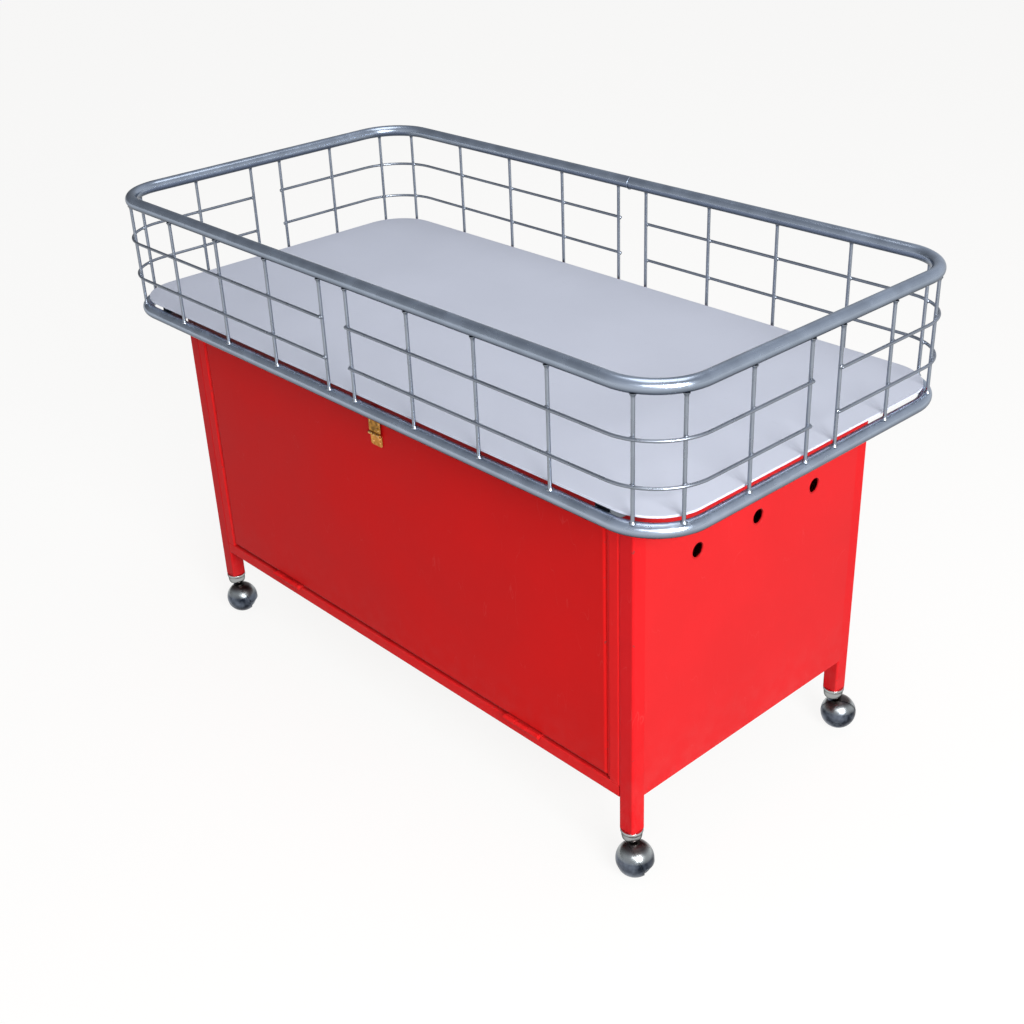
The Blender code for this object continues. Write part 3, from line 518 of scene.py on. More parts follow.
def finished(material, shown, rough, height, strength, distance):
    """Link a finish's colour, roughness and bump to its shader."""
    tree = material.node_tree
    shader = tree.nodes["Principled BSDF"]
    relief = add(tree, "Bump", {"Height": height, "Strength": strength, "Distance": distance})
    tree.links.new(shown, shader.inputs["Base Color"])
    tree.links.new(rough, shader.inputs["Roughness"])
    tree.links.new(relief.outputs[0], shader.inputs["Normal"])
    return material


def between(tree, mask, limits):
    """A value between two limits, by a mask from zero to one."""
    return span(tree, mask, 0.0, 1.0, *limits)


def chrome_finish(name, painted_lit, painted_shade_and_smudge, rough, stretch, glancing=1.0):
    """Bright plate with smudges and hairline scratches, with painted shade: darker on faces that look
    down.
    """
    grazed = colour(glancing, glancing, glancing)
    material, tree = new_finish(name, Metallic=1.0, Specular_Tint=grazed)
    cloudy = effect(tree, BLOTCHES, Scale=26.0)
    lines = effect(tree, HAIRLINES, Stretch=stretch, Scale=60.0, Width=0.012)
    # Painted shade: the colour goes from the lit one on faces that look up to the shaded one on faces
    # that look down.
    upward = effect(tree, UNDERSIDE, Down=-0.55, Upward=0.75)
    plated = blend(tree, upward, painted_shade_and_smudge, painted_lit)
    smudge = 0.22
    smudged = blend(tree, smudge, plated, blend(tree, cloudy, painted_shade_and_smudge, plated))
    rough = plus(tree, between(tree, cloudy, rough), lines, share=0.12)
    return finished(material, smudged, rough, lines, strength=0.03, distance=0.0004)


def ball_finish(name, top, painted_highlight_band, lower, painted_reflection_patch):
    """Dark polished plate, painted with a reflection: darkest low down with paler patches at random
    that stand in for reflection, a band painted bright below the top and a painted reddish reflection
    at the top.
    """
    material, tree = new_finish(name, Metallic=1.0)
    cloudy = effect(tree, BLOTCHES, Scale=60.0)
    patchy = effect(tree, BLOTCHES, Scale=52.0)
    lines = effect(tree, HAIRLINES, Stretch=(1.0, 1.0, 0.4), Scale=90.0, Width=0.012)
    # Painted reflection: paler patches at random in the dark lower colour.
    lower = blend(tree, patchy, lower, painted_reflection_patch)
    # Painted reflection by the faces' direction: a bright band below the top, and the reddish top
    # colour above it.
    plated = blend(tree, effect(tree, UNDERSIDE, Down=0.30, Upward=0.60), lower, painted_highlight_band)
    plated = blend(tree, effect(tree, UNDERSIDE, Down=0.66, Upward=0.84), plated, top)
    plated = tint(tree, plated, lower, cloudy, share=0.15)
    rough = plus(tree, between(tree, cloudy, (0.26, 0.35)), lines, share=0.12)
    return finished(material, plated, rough, lines, strength=0.04, distance=0.0004)


SCUFF = (0.74, 0.20, 0.18)
DUST = (0.42, 0.30, 0.28)
CHIP = (0.16, 0.05, 0.045)
SHADED_RED = (0.14, 0.006, 0.008)
# Colour of the painted shadow under the deck
PAINTED_DECK_SHADOW = (0.045, 0.004, 0.006)
SCRATCHED_WHITE = (0.45, 0.46, 0.50)
RUBBED_BRASS = (0.66, 0.38, 0.14)


def red_paint_finish(name, deep, fresh, peel, scuffs, shade_from):
    """Sprayed enamel with uneven depth, rubbed edges, scuffs and dust low down, with painted shade on
    faces that look down and a painted shadow under the deck at the top.
    """
    material, tree = new_finish(name, Specular_IOR_Level=0.04)
    cloudy = effect(tree, BLOTCHES, Scale=5.0)
    speckle = effect(tree, BLOTCHES, Scale=160.0)
    chipped = effect(tree, WORN_EDGES, Amount=0.3, Scale=140.0)
    lines = effect(tree, HAIRLINES, Stretch=(1.0, 1.0, 0.25), Scale=28.0, Width=0.004)
    dusty = effect(tree, LOW_DUST, Top=0.24)
    wave = effect(tree, ORANGE_PEEL, Scale=peel)
    upward = effect(tree, UNDERSIDE, Down=-0.85, Upward=-0.05)
    deck_shadow_mask = effect(tree, DECK_SHADE, Start=shade_from, Left=0.96, Right=0.45)
    paint = blend(tree, cloudy, deep, fresh)
    paint = tint(tree, paint, deep, speckle, share=0.12)
    paint = tint(tree, paint, SCUFF, lines, share=scuffs)
    paint = tint(tree, paint, DUST, dusty, share=0.10)
    paint = tint(tree, paint, CHIP, chipped, share=0.75)
    # Painted shade: darker red on faces that look down.
    paint = blend(tree, upward, SHADED_RED, paint)
    # Painted shadow under the deck: near black towards the top.
    paint = blend(tree, deck_shadow_mask, paint, PAINTED_DECK_SHADOW)
    rough = plus(tree, between(tree, cloudy, (0.34, 0.44)), dusty, share=0.16)
    rough = plus(tree, rough, chipped, share=0.2)
    relief = maths(tree, "SUBTRACT", wave, chipped)
    return finished(material, paint, rough, relief, strength=0.10, distance=0.0006)


def laminate_finish(name, pale, tinted, rough):
    """Smooth white laminate with a faint cloud, wiping marks and hairlines."""
    material, tree = new_finish(name, Specular_IOR_Level=0.06)
    cloudy = effect(tree, BLOTCHES, Scale=3.0)
    wiped = effect(tree, BLOTCHES, Scale=14.0)
    grain = effect(tree, ORANGE_PEEL, Scale=700.0)
    lines = effect(tree, HAIRLINES, Stretch=(0.3, 1.0, 1.0), Scale=22.0, Width=0.003)
    board = blend(tree, cloudy, tinted, pale)
    board = tint(tree, board, SCRATCHED_WHITE, lines, share=0.12)
    rough = plus(tree, between(tree, wiped, rough), lines, share=0.2)
    return finished(material, board, rough, grain, strength=0.04, distance=0.0003)


def brass_finish(name, bright, dull):
    """Yellow plate that is tarnished in patches and rubbed pale on its edges."""
    material, tree = new_finish(name, Metallic=1.0)
    tarnish = effect(tree, BLOTCHES, Scale=130.0)
    rubbed = effect(tree, WORN_EDGES, Amount=0.8, Scale=260.0)
    lines = effect(tree, HAIRLINES, Stretch=(1.0, 1.0, 0.2), Scale=220.0, Width=0.02)
    plated = blend(tree, tarnish, bright, dull)
    plated = blend(tree, rubbed, plated, RUBBED_BRASS)
    rough = between(tree, tarnish, (0.24, 0.42))
    return finished(material, plated, rough, lines, strength=0.08, distance=0.0003)


# Each chrome below has a lit colour and a shaded one, for the painted shade on faces that look down.
RIM_CHROME = chrome_finish(
    "rim_chrome", painted_lit=(0.65, 0.75, 0.91), painted_shade_and_smudge=(0.122, 0.146, 0.184),
    rough=(0.22, 0.30), stretch=(0.2, 0.2, 1.0), glancing=0.6,
)
WIRE_CHROME = chrome_finish(
    "wire_chrome", painted_lit=(0.50, 0.55, 0.64), painted_shade_and_smudge=(0.15, 0.17, 0.195),
    rough=(0.24, 0.34), stretch=(1.0, 1.0, 0.3), glancing=0.6,
)
# Darker copy of the chrome for the cross-bars: painted shade, as they stand under the deck.
SHADED_BAR_CHROME = chrome_finish(
    "shaded_bar_chrome", painted_lit=(0.26, 0.29, 0.33), painted_shade_and_smudge=(0.12, 0.135, 0.155),
    rough=(0.26, 0.36), stretch=(1.0, 0.2, 1.0), glancing=0.6,
)
SOCKET_CHROME = chrome_finish(
    "socket_chrome", painted_lit=(0.74, 0.75, 0.75), painted_shade_and_smudge=(0.22, 0.235, 0.23),
    rough=(0.14, 0.24), stretch=(1.0, 1.0, 0.2), glancing=0.2,
)
# The top colour is a painted reddish reflection, the band a painted bright reflection and the lower
# colour a painted dark one. The patches paint paler reflection at random.
BALL_CHROME = ball_finish(
    "ball_chrome", top=(0.13, 0.105, 0.10), painted_highlight_band=(0.44, 0.47, 0.475),
    lower=(0.016, 0.021, 0.032), painted_reflection_patch=(0.145, 0.170, 0.215),
)
AXLE_STEEL = chrome_finish(
    "axle_steel", painted_lit=(0.50, 0.50, 0.51), painted_shade_and_smudge=(0.24, 0.24, 0.25),
    rough=(0.25, 0.38), stretch=(1.0, 1.0, 0.2),
)
# shade_from is the height where the painted shadow under the deck begins.
FRAME_PAINT = red_paint_finish(
    "frame_red", deep=(0.70, 0.013, 0.014), fresh=(0.76, 0.015, 0.016),
    peel=300.0, scuffs=0.14, shade_from=0.543,
)
LEG_PAINT = red_paint_finish(
    "leg_red", deep=(0.62, 0.011, 0.014), fresh=(0.67, 0.013, 0.016),
    peel=300.0, scuffs=0.14, shade_from=0.550,
)
PANEL_PAINT = red_paint_finish(
    "panel_red", deep=(0.60, 0.009, 0.009), fresh=(0.65, 0.010, 0.010),
    peel=240.0, scuffs=0.10, shade_from=0.60,
)
SIDE_PAINT = red_paint_finish(
    "side_red", deep=(0.60, 0.017, 0.019), fresh=(0.65, 0.019, 0.022),
    peel=240.0, scuffs=0.10, shade_from=0.550,
)
DECK_TOP = laminate_finish(
    "deck_white", pale=(0.667, 0.695, 0.797), tinted=(0.622, 0.650, 0.747), rough=(0.46, 0.52)
)
BRASS = brass_finish("hasp_brass", bright=(0.62, 0.28, 0.05), dull=(0.42, 0.165, 0.022))
DULL_BRASS = brass_finish("strap_brass", bright=(0.48, 0.22, 0.03), dull=(0.20, 0.095, 0.01))


# Basket

RIM_LOW, RIM_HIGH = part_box("top_rim")
BASE_LOW, BASE_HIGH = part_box("base_rim")
RIM_X = RIM_HIGH.x - TUBE
RIM_Y = RIM_HIGH.y - TUBE
RIM_Z = (RIM_LOW.z + RIM_HIGH.z) / 2
BASE_Z = (BASE_LOW.z + BASE_HIGH.z) / 2
STRAIGHT_X = RIM_X - CORNER
STRAIGHT_Y = RIM_Y - CORNER
BEND = CORNER * math.pi / 2


def make_rims():
    """Two smooth bent tubes, each with the weld bead of its joint in the middle of the back."""
    outline = rounded_outline(RIM_X, RIM_Y, CORNER, ARC_STEPS)
    for name, height in (("top_rim", RIM_Z), ("base_rim", BASE_Z)):
        work = bmesh.new()
        tube(work, [(x, y, height) for x, y in outline], TUBE, RIM_SIDES, closed=True)
        joint = circle((RIM_Y - RIM_BEAD, height - RIM_BEAD), TUBE, RIM_SIDES)
        bead = [(0, y, z) for y, z in joint]
        tube(work, bead, RIM_BEAD, sides=8, up=ALONG_X, closed=True)
        piece(f"{name}_tube", work, RIM_CHROME, "frame", [name], angle=60)


def round_corner(distance, outset):
    """Plan point and outward direction, from the middle of a long side round to a short side."""
    if distance <= STRAIGHT_X:
        return Vector((distance, RIM_Y + outset)), Vector((0, 1))
    if distance >= STRAIGHT_X + BEND:
        return Vector((RIM_X + outset, STRAIGHT_Y - distance + STRAIGHT_X + BEND)), Vector((1, 0))
    angle = math.pi / 2 - (distance - STRAIGHT_X) / CORNER
    outward = Vector((math.cos(angle), math.sin(angle)))
    return Vector((STRAIGHT_X, STRAIGHT_Y)) + (CORNER + outset) * outward, outward


def upright_places():
    """Distances of a panel's uprights, from the middle of its long side."""
    past = CORNER * CORNER_UPRIGHT
    long_cell = (STRAIGHT_X + past - LONG_GAP / 2) / LONG_CELLS
    short_cell = (STRAIGHT_Y + past - SHORT_GAP / 2) / SHORT_CELLS
    last = STRAIGHT_X + BEND + STRAIGHT_Y - SHORT_GAP / 2
    places = [LONG_GAP / 2 + cell * long_cell for cell in range(LONG_CELLS + 1)]
    places += [last - cell * short_cell for cell in range(SHORT_CELLS, -1, -1)]
    return places


def make_wire_panels():
    """Uprights that flare into their welds, level wires with round ends and spot welds between."""
    for end, sign_y in ENDS.items():
        for side, sign_x in SIDES.items():
            name = f"wire_panel_{end}_{side}"
            work = wire_panel(Vector((sign_x, sign_y)))
            piece(f"{name}_wires", work, WIRE_CHROME, "frame", [name], angle=60)


def wire_panel(flip):
    """The wires of one corner, turned to it by the signs of X and Y."""
    places = upright_places()
    first, last = places[0] - UPRIGHT, places[-1] + UPRIGHT
    bend = [STRAIGHT_X + BEND * step / ARC_STEPS for step in range(ARC_STEPS + 1)]
    reach = math.sqrt(TUBE**2 - UPRIGHT_OUTSET**2) - UPRIGHT_SINK
    low, high = BASE_Z + reach, RIM_Z - reach
    weld_outset = (UPRIGHT_OUTSET + LEVEL_OUTSET) / 2
    work = bmesh.new()
    for distance in places:
        x, y = round_corner(distance, UPRIGHT_OUTSET)[0] * flip
        upright = lambda z: (x, y, z)
        tapered(work, upright, low, high, UPRIGHT_FLARE, UPRIGHT, WIRE_SIDES, up=ALONG_X)
    for drop in LEVEL_DROPS:
        height = RIM_Z - drop
        level = lambda distance: (*(round_corner(distance, LEVEL_OUTSET)[0] * flip), height)
        tapered(work, level, first, last, LEVEL_TAPER, LEVEL, WIRE_SIDES, bends=bend)
        for distance in places:
            spot, outward = round_corner(distance, weld_outset)
            out = Vector((*(outward * flip), 0))
            ellipsoid(work, (*(spot * flip), height), SPOT_WELD, (out.cross(UP), out, UP))
    return work


def make_deck():
    """White board with softened edges."""
    low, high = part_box("deck_panel")
    radius = CORNER - (RIM_X - high.x)
    midway = 0.3 * DECK_SOFT  # on the softened edge
    levels = (
        (DECK_BACK_SOFT, low.z),
        (0.0, low.z + DECK_BACK_SOFT),
        (0.0, high.z - DECK_SOFT),
        (midway, high.z - midway),
        (DECK_SOFT, high.z),
    )
    rings = []
    for inset, height in levels:
        outline = rounded_outline(high.x - inset, high.y - inset, radius - inset, ARC_STEPS)
        rings.append([(x, y, height) for x, y in outline])
    work = bmesh.new()
    loft(work, rings)
    piece("deck_board", work, DECK_TOP, "frame", ["deck_panel"])


def square_tube(node, along, edge=TUBE_EDGE):
    """A hollow tube with rounded edges that fills a CAD tube's box."""
    low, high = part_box(node)
    size = high - low
    across = {"x": (size.z, size.y), "y": (size.x, size.z), "z": (size.x, size.y)}[along]
    turn = {"x": LIE_ALONG_X, "y": FACE_FRONT, "z": FACE_UP}[along]
    half_a, half_b = across[0] / 2, across[1] / 2
    outer = rounded_outline(half_a, half_b, edge, steps=5)
    bore = rounded_outline(half_a - TUBE_WALL, half_b - TUBE_WALL, edge - TUBE_WALL, steps=3)
    return plate([outer, bore], getattr(size, along), (low + high) / 2, turn)


def make_cross_bars():
    """Square chrome tubes, painted darker as painted shade under the deck, with plugs in their ends
    and weld beads that hold them to the base rim.
    """
    fit = TUBE_WALL + GAP
    for side in SIDES:
        node = f"cross_bar_{side}"
        low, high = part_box(node)
        work = square_tube(node, "y")
        for y, inward in ((low.y, 1), (high.y, -1)):
            for x in (low.x, high.x):
                ellipsoid(work, (x, y, BASE_Z), BAR_WELD, (ALONG_X, ALONG_Y, UP))
            outer = (low.x + fit, y + inward * PLUG_SINK, low.z + fit)
            inner = (high.x - fit, y + inward * PLUG_DEPTH, high.z - fit)
            block(work, outer, inner, PLUG_EDGE)
        piece(f"{node}_tube", work, SHADED_BAR_CHROME, "frame", [node])


# Cabinet

def make_frame_tubes():
    """Legs, rails and stiles. Each stile has a stop along the door and a filled seam along the leg."""
    def frame_tube(node, along, edge, finish):
        work = square_tube(node, along, edge)
        piece(f"{node}_tube", work, finish, "frame", [node])

    for end in ENDS:
        for side in SIDES:
            frame_tube(f"leg_{end}_{side}", "z", TUBE_EDGE, LEG_PAINT)
        for level in ("bottom", "top"):
            frame_tube(f"{end}_{level}_rail", "x", RAIL_EDGE, FRAME_PAINT)
    door_low, door_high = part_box("door_panel")
    for side, sign in SIDES.items():
        for level in ("bottom", "top"):
            frame_tube(f"{side}_{level}_rail", "y", RAIL_EDGE, FRAME_PAINT)
        node = f"{side}_door_stile"
        low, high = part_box(node)
        door_x, leg_x = (low.x, high.x) if sign > 0 else (high.x, low.x)
        work = square_tube(node, "z", RAIL_EDGE)
        front, back = (low.y + depth for depth in STOP_DEPTHS)
        corner = (door_x + sign * STOP_LAP, front, door_low.z)
        block(work, corner, (door_x - sign * STOP_REACH, back, door_high.z), STOP_EDGE)
        front, back = (low.y + depth for depth in SEAM_DEPTHS)
        corner = (leg_x - sign * SEAM_HALF, front, low.z)
        block(work, corner, (leg_x + sign * SEAM_HALF, back, high.z), SEAM_EDGE)
        piece(f"{node}_tube", work, FRAME_PAINT, "frame", [node])


def make_side_panels():
    """Sheets lapped on to the legs, with three round vents that have rolled collars."""
    vents = [index * VENT_SPACING for index in (-1, 0, 1)]
    for side, sign in SIDES.items():
        node = f"{side}_side_panel"
        low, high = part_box(node)
        half = (high - low) / 2
        sheet = [rectangle(half.y + LAP, half.z)]
        sheet += [circle((y, half.z - VENT_DROP), VENT, VENT_SIDES) for y in vents]
        work = plate(sheet, SHEET, (low + high) / 2, FACE_SIDE)
        outer_x = high.x if sign > 0 else low.x
        outward = Matrix(((0, 0, sign), (0, 1, 0), (-sign, 0, 0))).to_4x4()
        for y in vents:
            spot = Matrix.Translation((outer_x, y, high.z - VENT_DROP))
            turned(work, VENT_COLLAR, VENT_SIDES, spot @ outward)
        piece(f"{side}_side_sheet", work, SIDE_PAINT, "frame", [node])


def rivet(work, spot, outward, radius, height):
    """A domed rivet head."""
    profile = [(radius * across, height * rise) for across, rise in RIVET_DOME]
    turned(work, profile, steps=16, matrix=facing(spot, outward))


def screw(work, spot, outward, radius):
    """A countersunk screw head with a cross recess."""
    matrix = facing(spot, outward)
    profile = [(radius * across, height) for across, height in SCREW_HEAD]
    turned(work, profile, steps=20, matrix=matrix)
    arm = rectangle(radius * CROSS_ARM, CROSS_HALF)
    for angle in (CROSS_TURN, CROSS_TURN + math.pi / 2):
        cut = matrix @ Matrix.Rotation(angle, 4, "Z")
        loft(work, [[cut @ Vector((*point, z)) for point in arm] for z in CROSS_LEVELS])


def make_back_and_floor():
    """The back sheet, lapped on to the legs, with its rivets. The plain floor keeps its CAD shape."""
    repaint("cabinet_floor", PANEL_PAINT)
    low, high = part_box("back_panel")
    size = high - low
    outline = rectangle(size.x / 2 + LAP, size.z / 2)
    work = plate([outline], size.y, (low + high) / 2, FACE_FRONT)
    piece("back_sheet", work, PANEL_PAINT, "frame", ["back_panel"])
    spots = []
    for index in range(ROW_GAPS + 1):
        x = low.x + ROW_INSET + (size.x - 2 * ROW_INSET) * index / ROW_GAPS
        spots += [(x, low.z + ROW_RISE), (x, high.z - ROW_DROP)]
    for index in range(1, COLUMN_GAPS):
        z = low.z + size.z * index / COLUMN_GAPS
        spots += [(low.x + COLUMN_INSET, z), (high.x - COLUMN_INSET, z)]
    work = bmesh.new()
    for x, z in spots:
        rivet(work, (x, high.y, z), ALONG_Y, *BACK_RIVET)
    piece("back_rivets", work, FRAME_PAINT, "frame")


def make_door():
    """A folded tray with a lip behind its edges and two stiffeners inside."""
    low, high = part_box("door_panel")
    half = (high - low) / 2
    middle_z = (high.z + low.z) / 2
    depth = high.y - low.y
    centre = (DOOR_EDGE, DOOR_EDGE)
    section = (
        *arc(centre, DOOR_EDGE, -math.pi / 2, -math.pi, steps=6),
        (0.0, depth - DOOR_FOLD),
        (DOOR_FOLD, depth),
        (DOOR_LIP, depth),
        (DOOR_LIP, depth - SHEET),
        (SHEET, depth - SHEET),
        *arc(centre, DOOR_EDGE - SHEET, -math.pi, -math.pi / 2, steps=4),
    )
    rings = []
    for inset, back in section:
        corner = max(DOOR_CORNER - inset, DOOR_INNER_CORNER)
        outline = rounded_outline(half.x - inset, half.z - inset, corner, steps=4)
        rings.append([(x, low.y + back, middle_z + z) for x, z in outline])
    work = bmesh.new()
    loft(work, rings)
    for x in (-STIFFENER_X, STIFFENER_X):
        ends = []
        for z in (low.z + STIFFENER_INSET, high.z - STIFFENER_INSET):
            ends.append([(x + across, low.y + SHEET + back, z) for across, back in hat_outline()])
        loft(work, ends)
    piece("door_tray", work, PANEL_PAINT, "door", ["door_panel"])


def hat_outline():
    """Section of a stiffener, one sheet thick: feet, slopes and a flat top."""
    under = [(HAT_HALF, 0.0), (HAT_FOOT, 0.0), (HAT_TOP, HAT_RISE)]
    foot, top = HAT_FOOT + HAT_SLOPE, HAT_TOP + HAT_SLOPE
    over = [(HAT_HALF, SHEET), (foot, SHEET), (top, HAT_RISE + SHEET)]
    left_under = [(-across, rise) for across, rise in under]
    left_over = [(-across, rise) for across, rise in over]
    return left_under + under[::-1] + over + left_over[::-1]


# Hinges and hasp

def knuckle(work, low_x, high_x, axis, radius):
    """A barrel with softened ends about a pin."""
    taper = ((0.0, 1 - KNUCKLE_SOFT), (radius * KNUCKLE_SOFT, 1.0))
    tapered(work, lambda x: (x, axis.y, axis.z), low_x, high_x, taper, radius, sides=28)


def make_hinges():
    """Painted butt hinges: three knuckles on a pin, with the leaves in the gap under the door."""
    axis = Vector(JOINTS["door_drop"]["pos_m"])
    rail_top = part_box("front_bottom_rail")[1].z
    door_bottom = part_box("door_panel")[0].z
    behind = axis.y + HINGE_BARREL + GAP
    leaves = (  # each with its body, lower and upper edge and the knuckles it has
        ("frame_leaf", "frame", rail_top + GAP, axis.z - GAP / 2, (-1, 1)),
        ("door_leaf", "door", axis.z + GAP / 2, door_bottom - GAP, (0,)),
    )
    for side in SIDES:
        pin = f"{side}_hinge_pin"
        pin_low, pin_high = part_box(pin)
        third = (pin_high.x - pin_low.x - 2 * PIN_HEAD) / 3
        for kind, body, bottom, top, knuckles in leaves:
            node = f"{side}_hinge_{kind}"
            low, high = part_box(node)
            work = bmesh.new()
            block(work, (low.x, behind, bottom), (high.x, high.y, top), LEAF_EDGE)
            for index in knuckles:
                middle = (low.x + high.x) / 2 + index * third
                first, last = middle - third / 2 + GAP, middle + third / 2 - GAP
                knuckle(work, first, last, axis, HINGE_BARREL)
                block(work, (first, axis.y, bottom), (last, behind + WEB_LAP, top), WEB_EDGE)
            piece(f"{node}_plate", work, FRAME_PAINT, body, [node])
        radius = (pin_high.z - pin_low.z) / 2
        ends = [(x, axis.y, axis.z) for x in (pin_low.x + PIN_END, pin_high.x - PIN_END)]
        work = bmesh.new()
        tube(work, ends, radius * PIN_ROD, PIN_SIDES)
        for x, outward in ((pin_low.x, -1), (pin_high.x, 1)):
            spot = (x - outward * PIN_HEAD, axis.y, axis.z)
            rivet(work, spot, outward * ALONG_X, radius, PIN_HEAD)
        piece(f"{pin}_rod", work, FRAME_PAINT, "frame", [pin])


HASP_AXIS = Vector(JOINTS["hasp_fold"]["pos_m"])
LEAF_LOW, LEAF_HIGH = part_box("hasp_leaf")
STAPLE_LOW, STAPLE_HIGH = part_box("hasp_staple")
HASP_HALF = (LEAF_HIGH.x - LEAF_LOW.x) / 2
HASP_THIRD = 2 * HASP_HALF / 3
LEAF_FRONT = LEAF_HIGH.y - HASP_SHEET
EYE_Z = (STAPLE_LOW.z + STAPLE_HIGH.z) / 2


def hasp_plate(outlines, y, z):
    return plate(outlines, HASP_SHEET, (0, y, z), FACE_FRONT, HASP_SOFT)


def make_hasp_leaf():
    """Brass leaf on the door, with the two outer knuckles and four screws."""
    height = HASP_AXIS.z - LEAF_LOW.z
    outline = rounded_outline(HASP_HALF, height / 2, LEAF_CORNER, steps=6)
    work = hasp_plate([outline], LEAF_HIGH.y - HASP_SHEET / 2, LEAF_LOW.z + height / 2)
    for low, high in ((-HASP_HALF, -HASP_HALF + HASP_THIRD), (HASP_HALF - HASP_THIRD, HASP_HALF)):
        knuckle(work, low, high, HASP_AXIS, HASP_BARREL)
    for x in (-LEAF_SCREW_X, LEAF_SCREW_X):
        for rise in LEAF_SCREW_RISES:
            screw(work, (x, LEAF_FRONT, LEAF_LOW.z + rise), -ALONG_Y, LEAF_SCREW)
    piece("hasp_leaf_plate", work, BRASS, "door", ["hasp_leaf"])


def make_hasp_strap():
    """Slotted strap with two ridges, a rivet and the middle knuckle."""
    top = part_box("hasp_strap")[1].z
    length = top - HASP_AXIS.z
    middle = HASP_AXIS.z + length / 2
    strap_y = LEAF_FRONT - GAP - HASP_SHEET / 2
    front = strap_y - HASP_SHEET / 2
    outline = rounded_outline(HASP_HALF, length / 2, STRAP_CORNER, steps=8)
    slot = rounded_outline(SLOT_X, SLOT_Z, SLOT_CORNER, steps=8)
    work = hasp_plate([outline, [(x, z + EYE_Z - middle) for x, z in slot]], strap_y, middle)
    end = HASP_HALF - HASP_THIRD - KNUCKLE_PLAY
    knuckle(work, -end, end, HASP_AXIS, HASP_BARREL)
    low, high = HASP_AXIS.z + RIDGE_RISE, top - RIDGE_DROP
    for x in (-RIDGE_X, RIDGE_X):
        ridge = lambda z: (x, front + RIDGE_SINK, z)
        tapered(work, ridge, low, high, RIDGE_TAPER, RIDGE, sides=12, up=ALONG_X)
    spot = (STRAP_RIVET_X, front, HASP_AXIS.z + STRAP_RIVET_RISE)
    rivet(work, spot, -ALONG_Y, *STRAP_RIVET)
    piece("hasp_strap_plate", work, DULL_BRASS, "hasp", ["hasp_strap"])


def make_hasp_pin():
    """Pin with upset ends."""
    low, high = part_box("hasp_pin")
    radius = (high.z - low.z) / 2
    on_axis = lambda x: (x, HASP_AXIS.y, HASP_AXIS.z)
    work = bmesh.new()
    tapered(work, on_axis, low.x, high.x, HASP_PIN_TAPER, radius, PIN_SIDES)
    piece("hasp_pin_rod", work, BRASS, "door", ["hasp_pin"])


def make_hasp_staple():
    """Riveted base with a level wire loop for a padlock."""
    base_y = STAPLE_HIGH.y - HASP_SHEET / 2
    half_z = (STAPLE_HIGH.z - STAPLE_LOW.z) / 2
    outline = rounded_outline(STAPLE_HIGH.x, half_z, STAPLE_CORNER, steps=5)
    work = hasp_plate([outline], base_y, EYE_Z)
    centre = (0, STAPLE_LOW.y + LOOP_WIRE + LOOP_BEND)
    bend = arc(centre, LOOP_BEND, 0, -math.pi, steps=20)
    route = [(LOOP_BEND, base_y), *bend, (-LOOP_BEND, base_y)]
    tube(work, [(x, y, EYE_Z) for x, y in route], LOOP_WIRE, sides=16)
    for x in (-STAPLE_RIVET_X, STAPLE_RIVET_X):
        rivet(work, (x, base_y - HASP_SHEET / 2, EYE_Z), -ALONG_Y, *STAPLE_RIVET)
    piece("hasp_staple_loop", work, BRASS, "frame", ["hasp_staple"])


# Casters

def ball_profile(radius, start, end, steps):
    """Profile points on a ball, angles in degrees from its split towards the axle's far end."""
    return arc((0, 0), radius, math.radians(start), math.radians(end), steps)


def make_casters():
    """A swivelling ball caster in the lower end of each leg."""
    for end in ENDS:
        for side in SIDES:
            name = f"caster_{end}_{side}"
            roll = JOINTS[f"{end}_{side}_roll"]
            on_axle = facing(roll["pos_m"], roll["axis"])
            make_ball(name, on_axle)
            make_hood(name, on_axle, Vector(JOINTS[f"{end}_{side}_swivel"]["pos_m"]))
            make_collar(name)
            repaint(f"{name}_axle", AXLE_STEEL)


def make_ball(name, on_axle):
    """Half-ball wheel with a beaded rim and, under the hood, a smaller core."""
    ball = on_axle.translation.z  # the ball stands on the floor
    work = bmesh.new()
    hub = [(radius, ball * height) for radius, height in HUB]
    groove = [(ball * radius, ball * height) for radius, height in GROOVE]
    dome = ball_profile(ball, *DOME, steps=26)
    turned(work, hub + dome + groove, BALL_SIDES, on_axle)
    bead = [(ball * BEAD_INNER, BALL_SPLIT), (ball * BEAD_FOOT, BALL_SPLIT)]
    bead += ball_profile(ball, *RIM_ROUND, steps=3)
    bead += [(ball * radius, ball * BEAD_RISE) for radius in (BEAD_TOP, BEAD_INNER)]
    turned(work, bead, BALL_SIDES, on_axle)
    core = ball_profile(ball - HOOD_WALL - BALL_SPLIT, *CORE, steps=14)
    core = [(0, BALL_SPLIT), (core[0][0], BALL_SPLIT), *core, (0, core[-1][1])]
    turned(work, core, BALL_SIDES, on_axle)
    piece(f"{name}_ball", work, BALL_CHROME, f"{name}_roller", [f"{name}_wheel"])


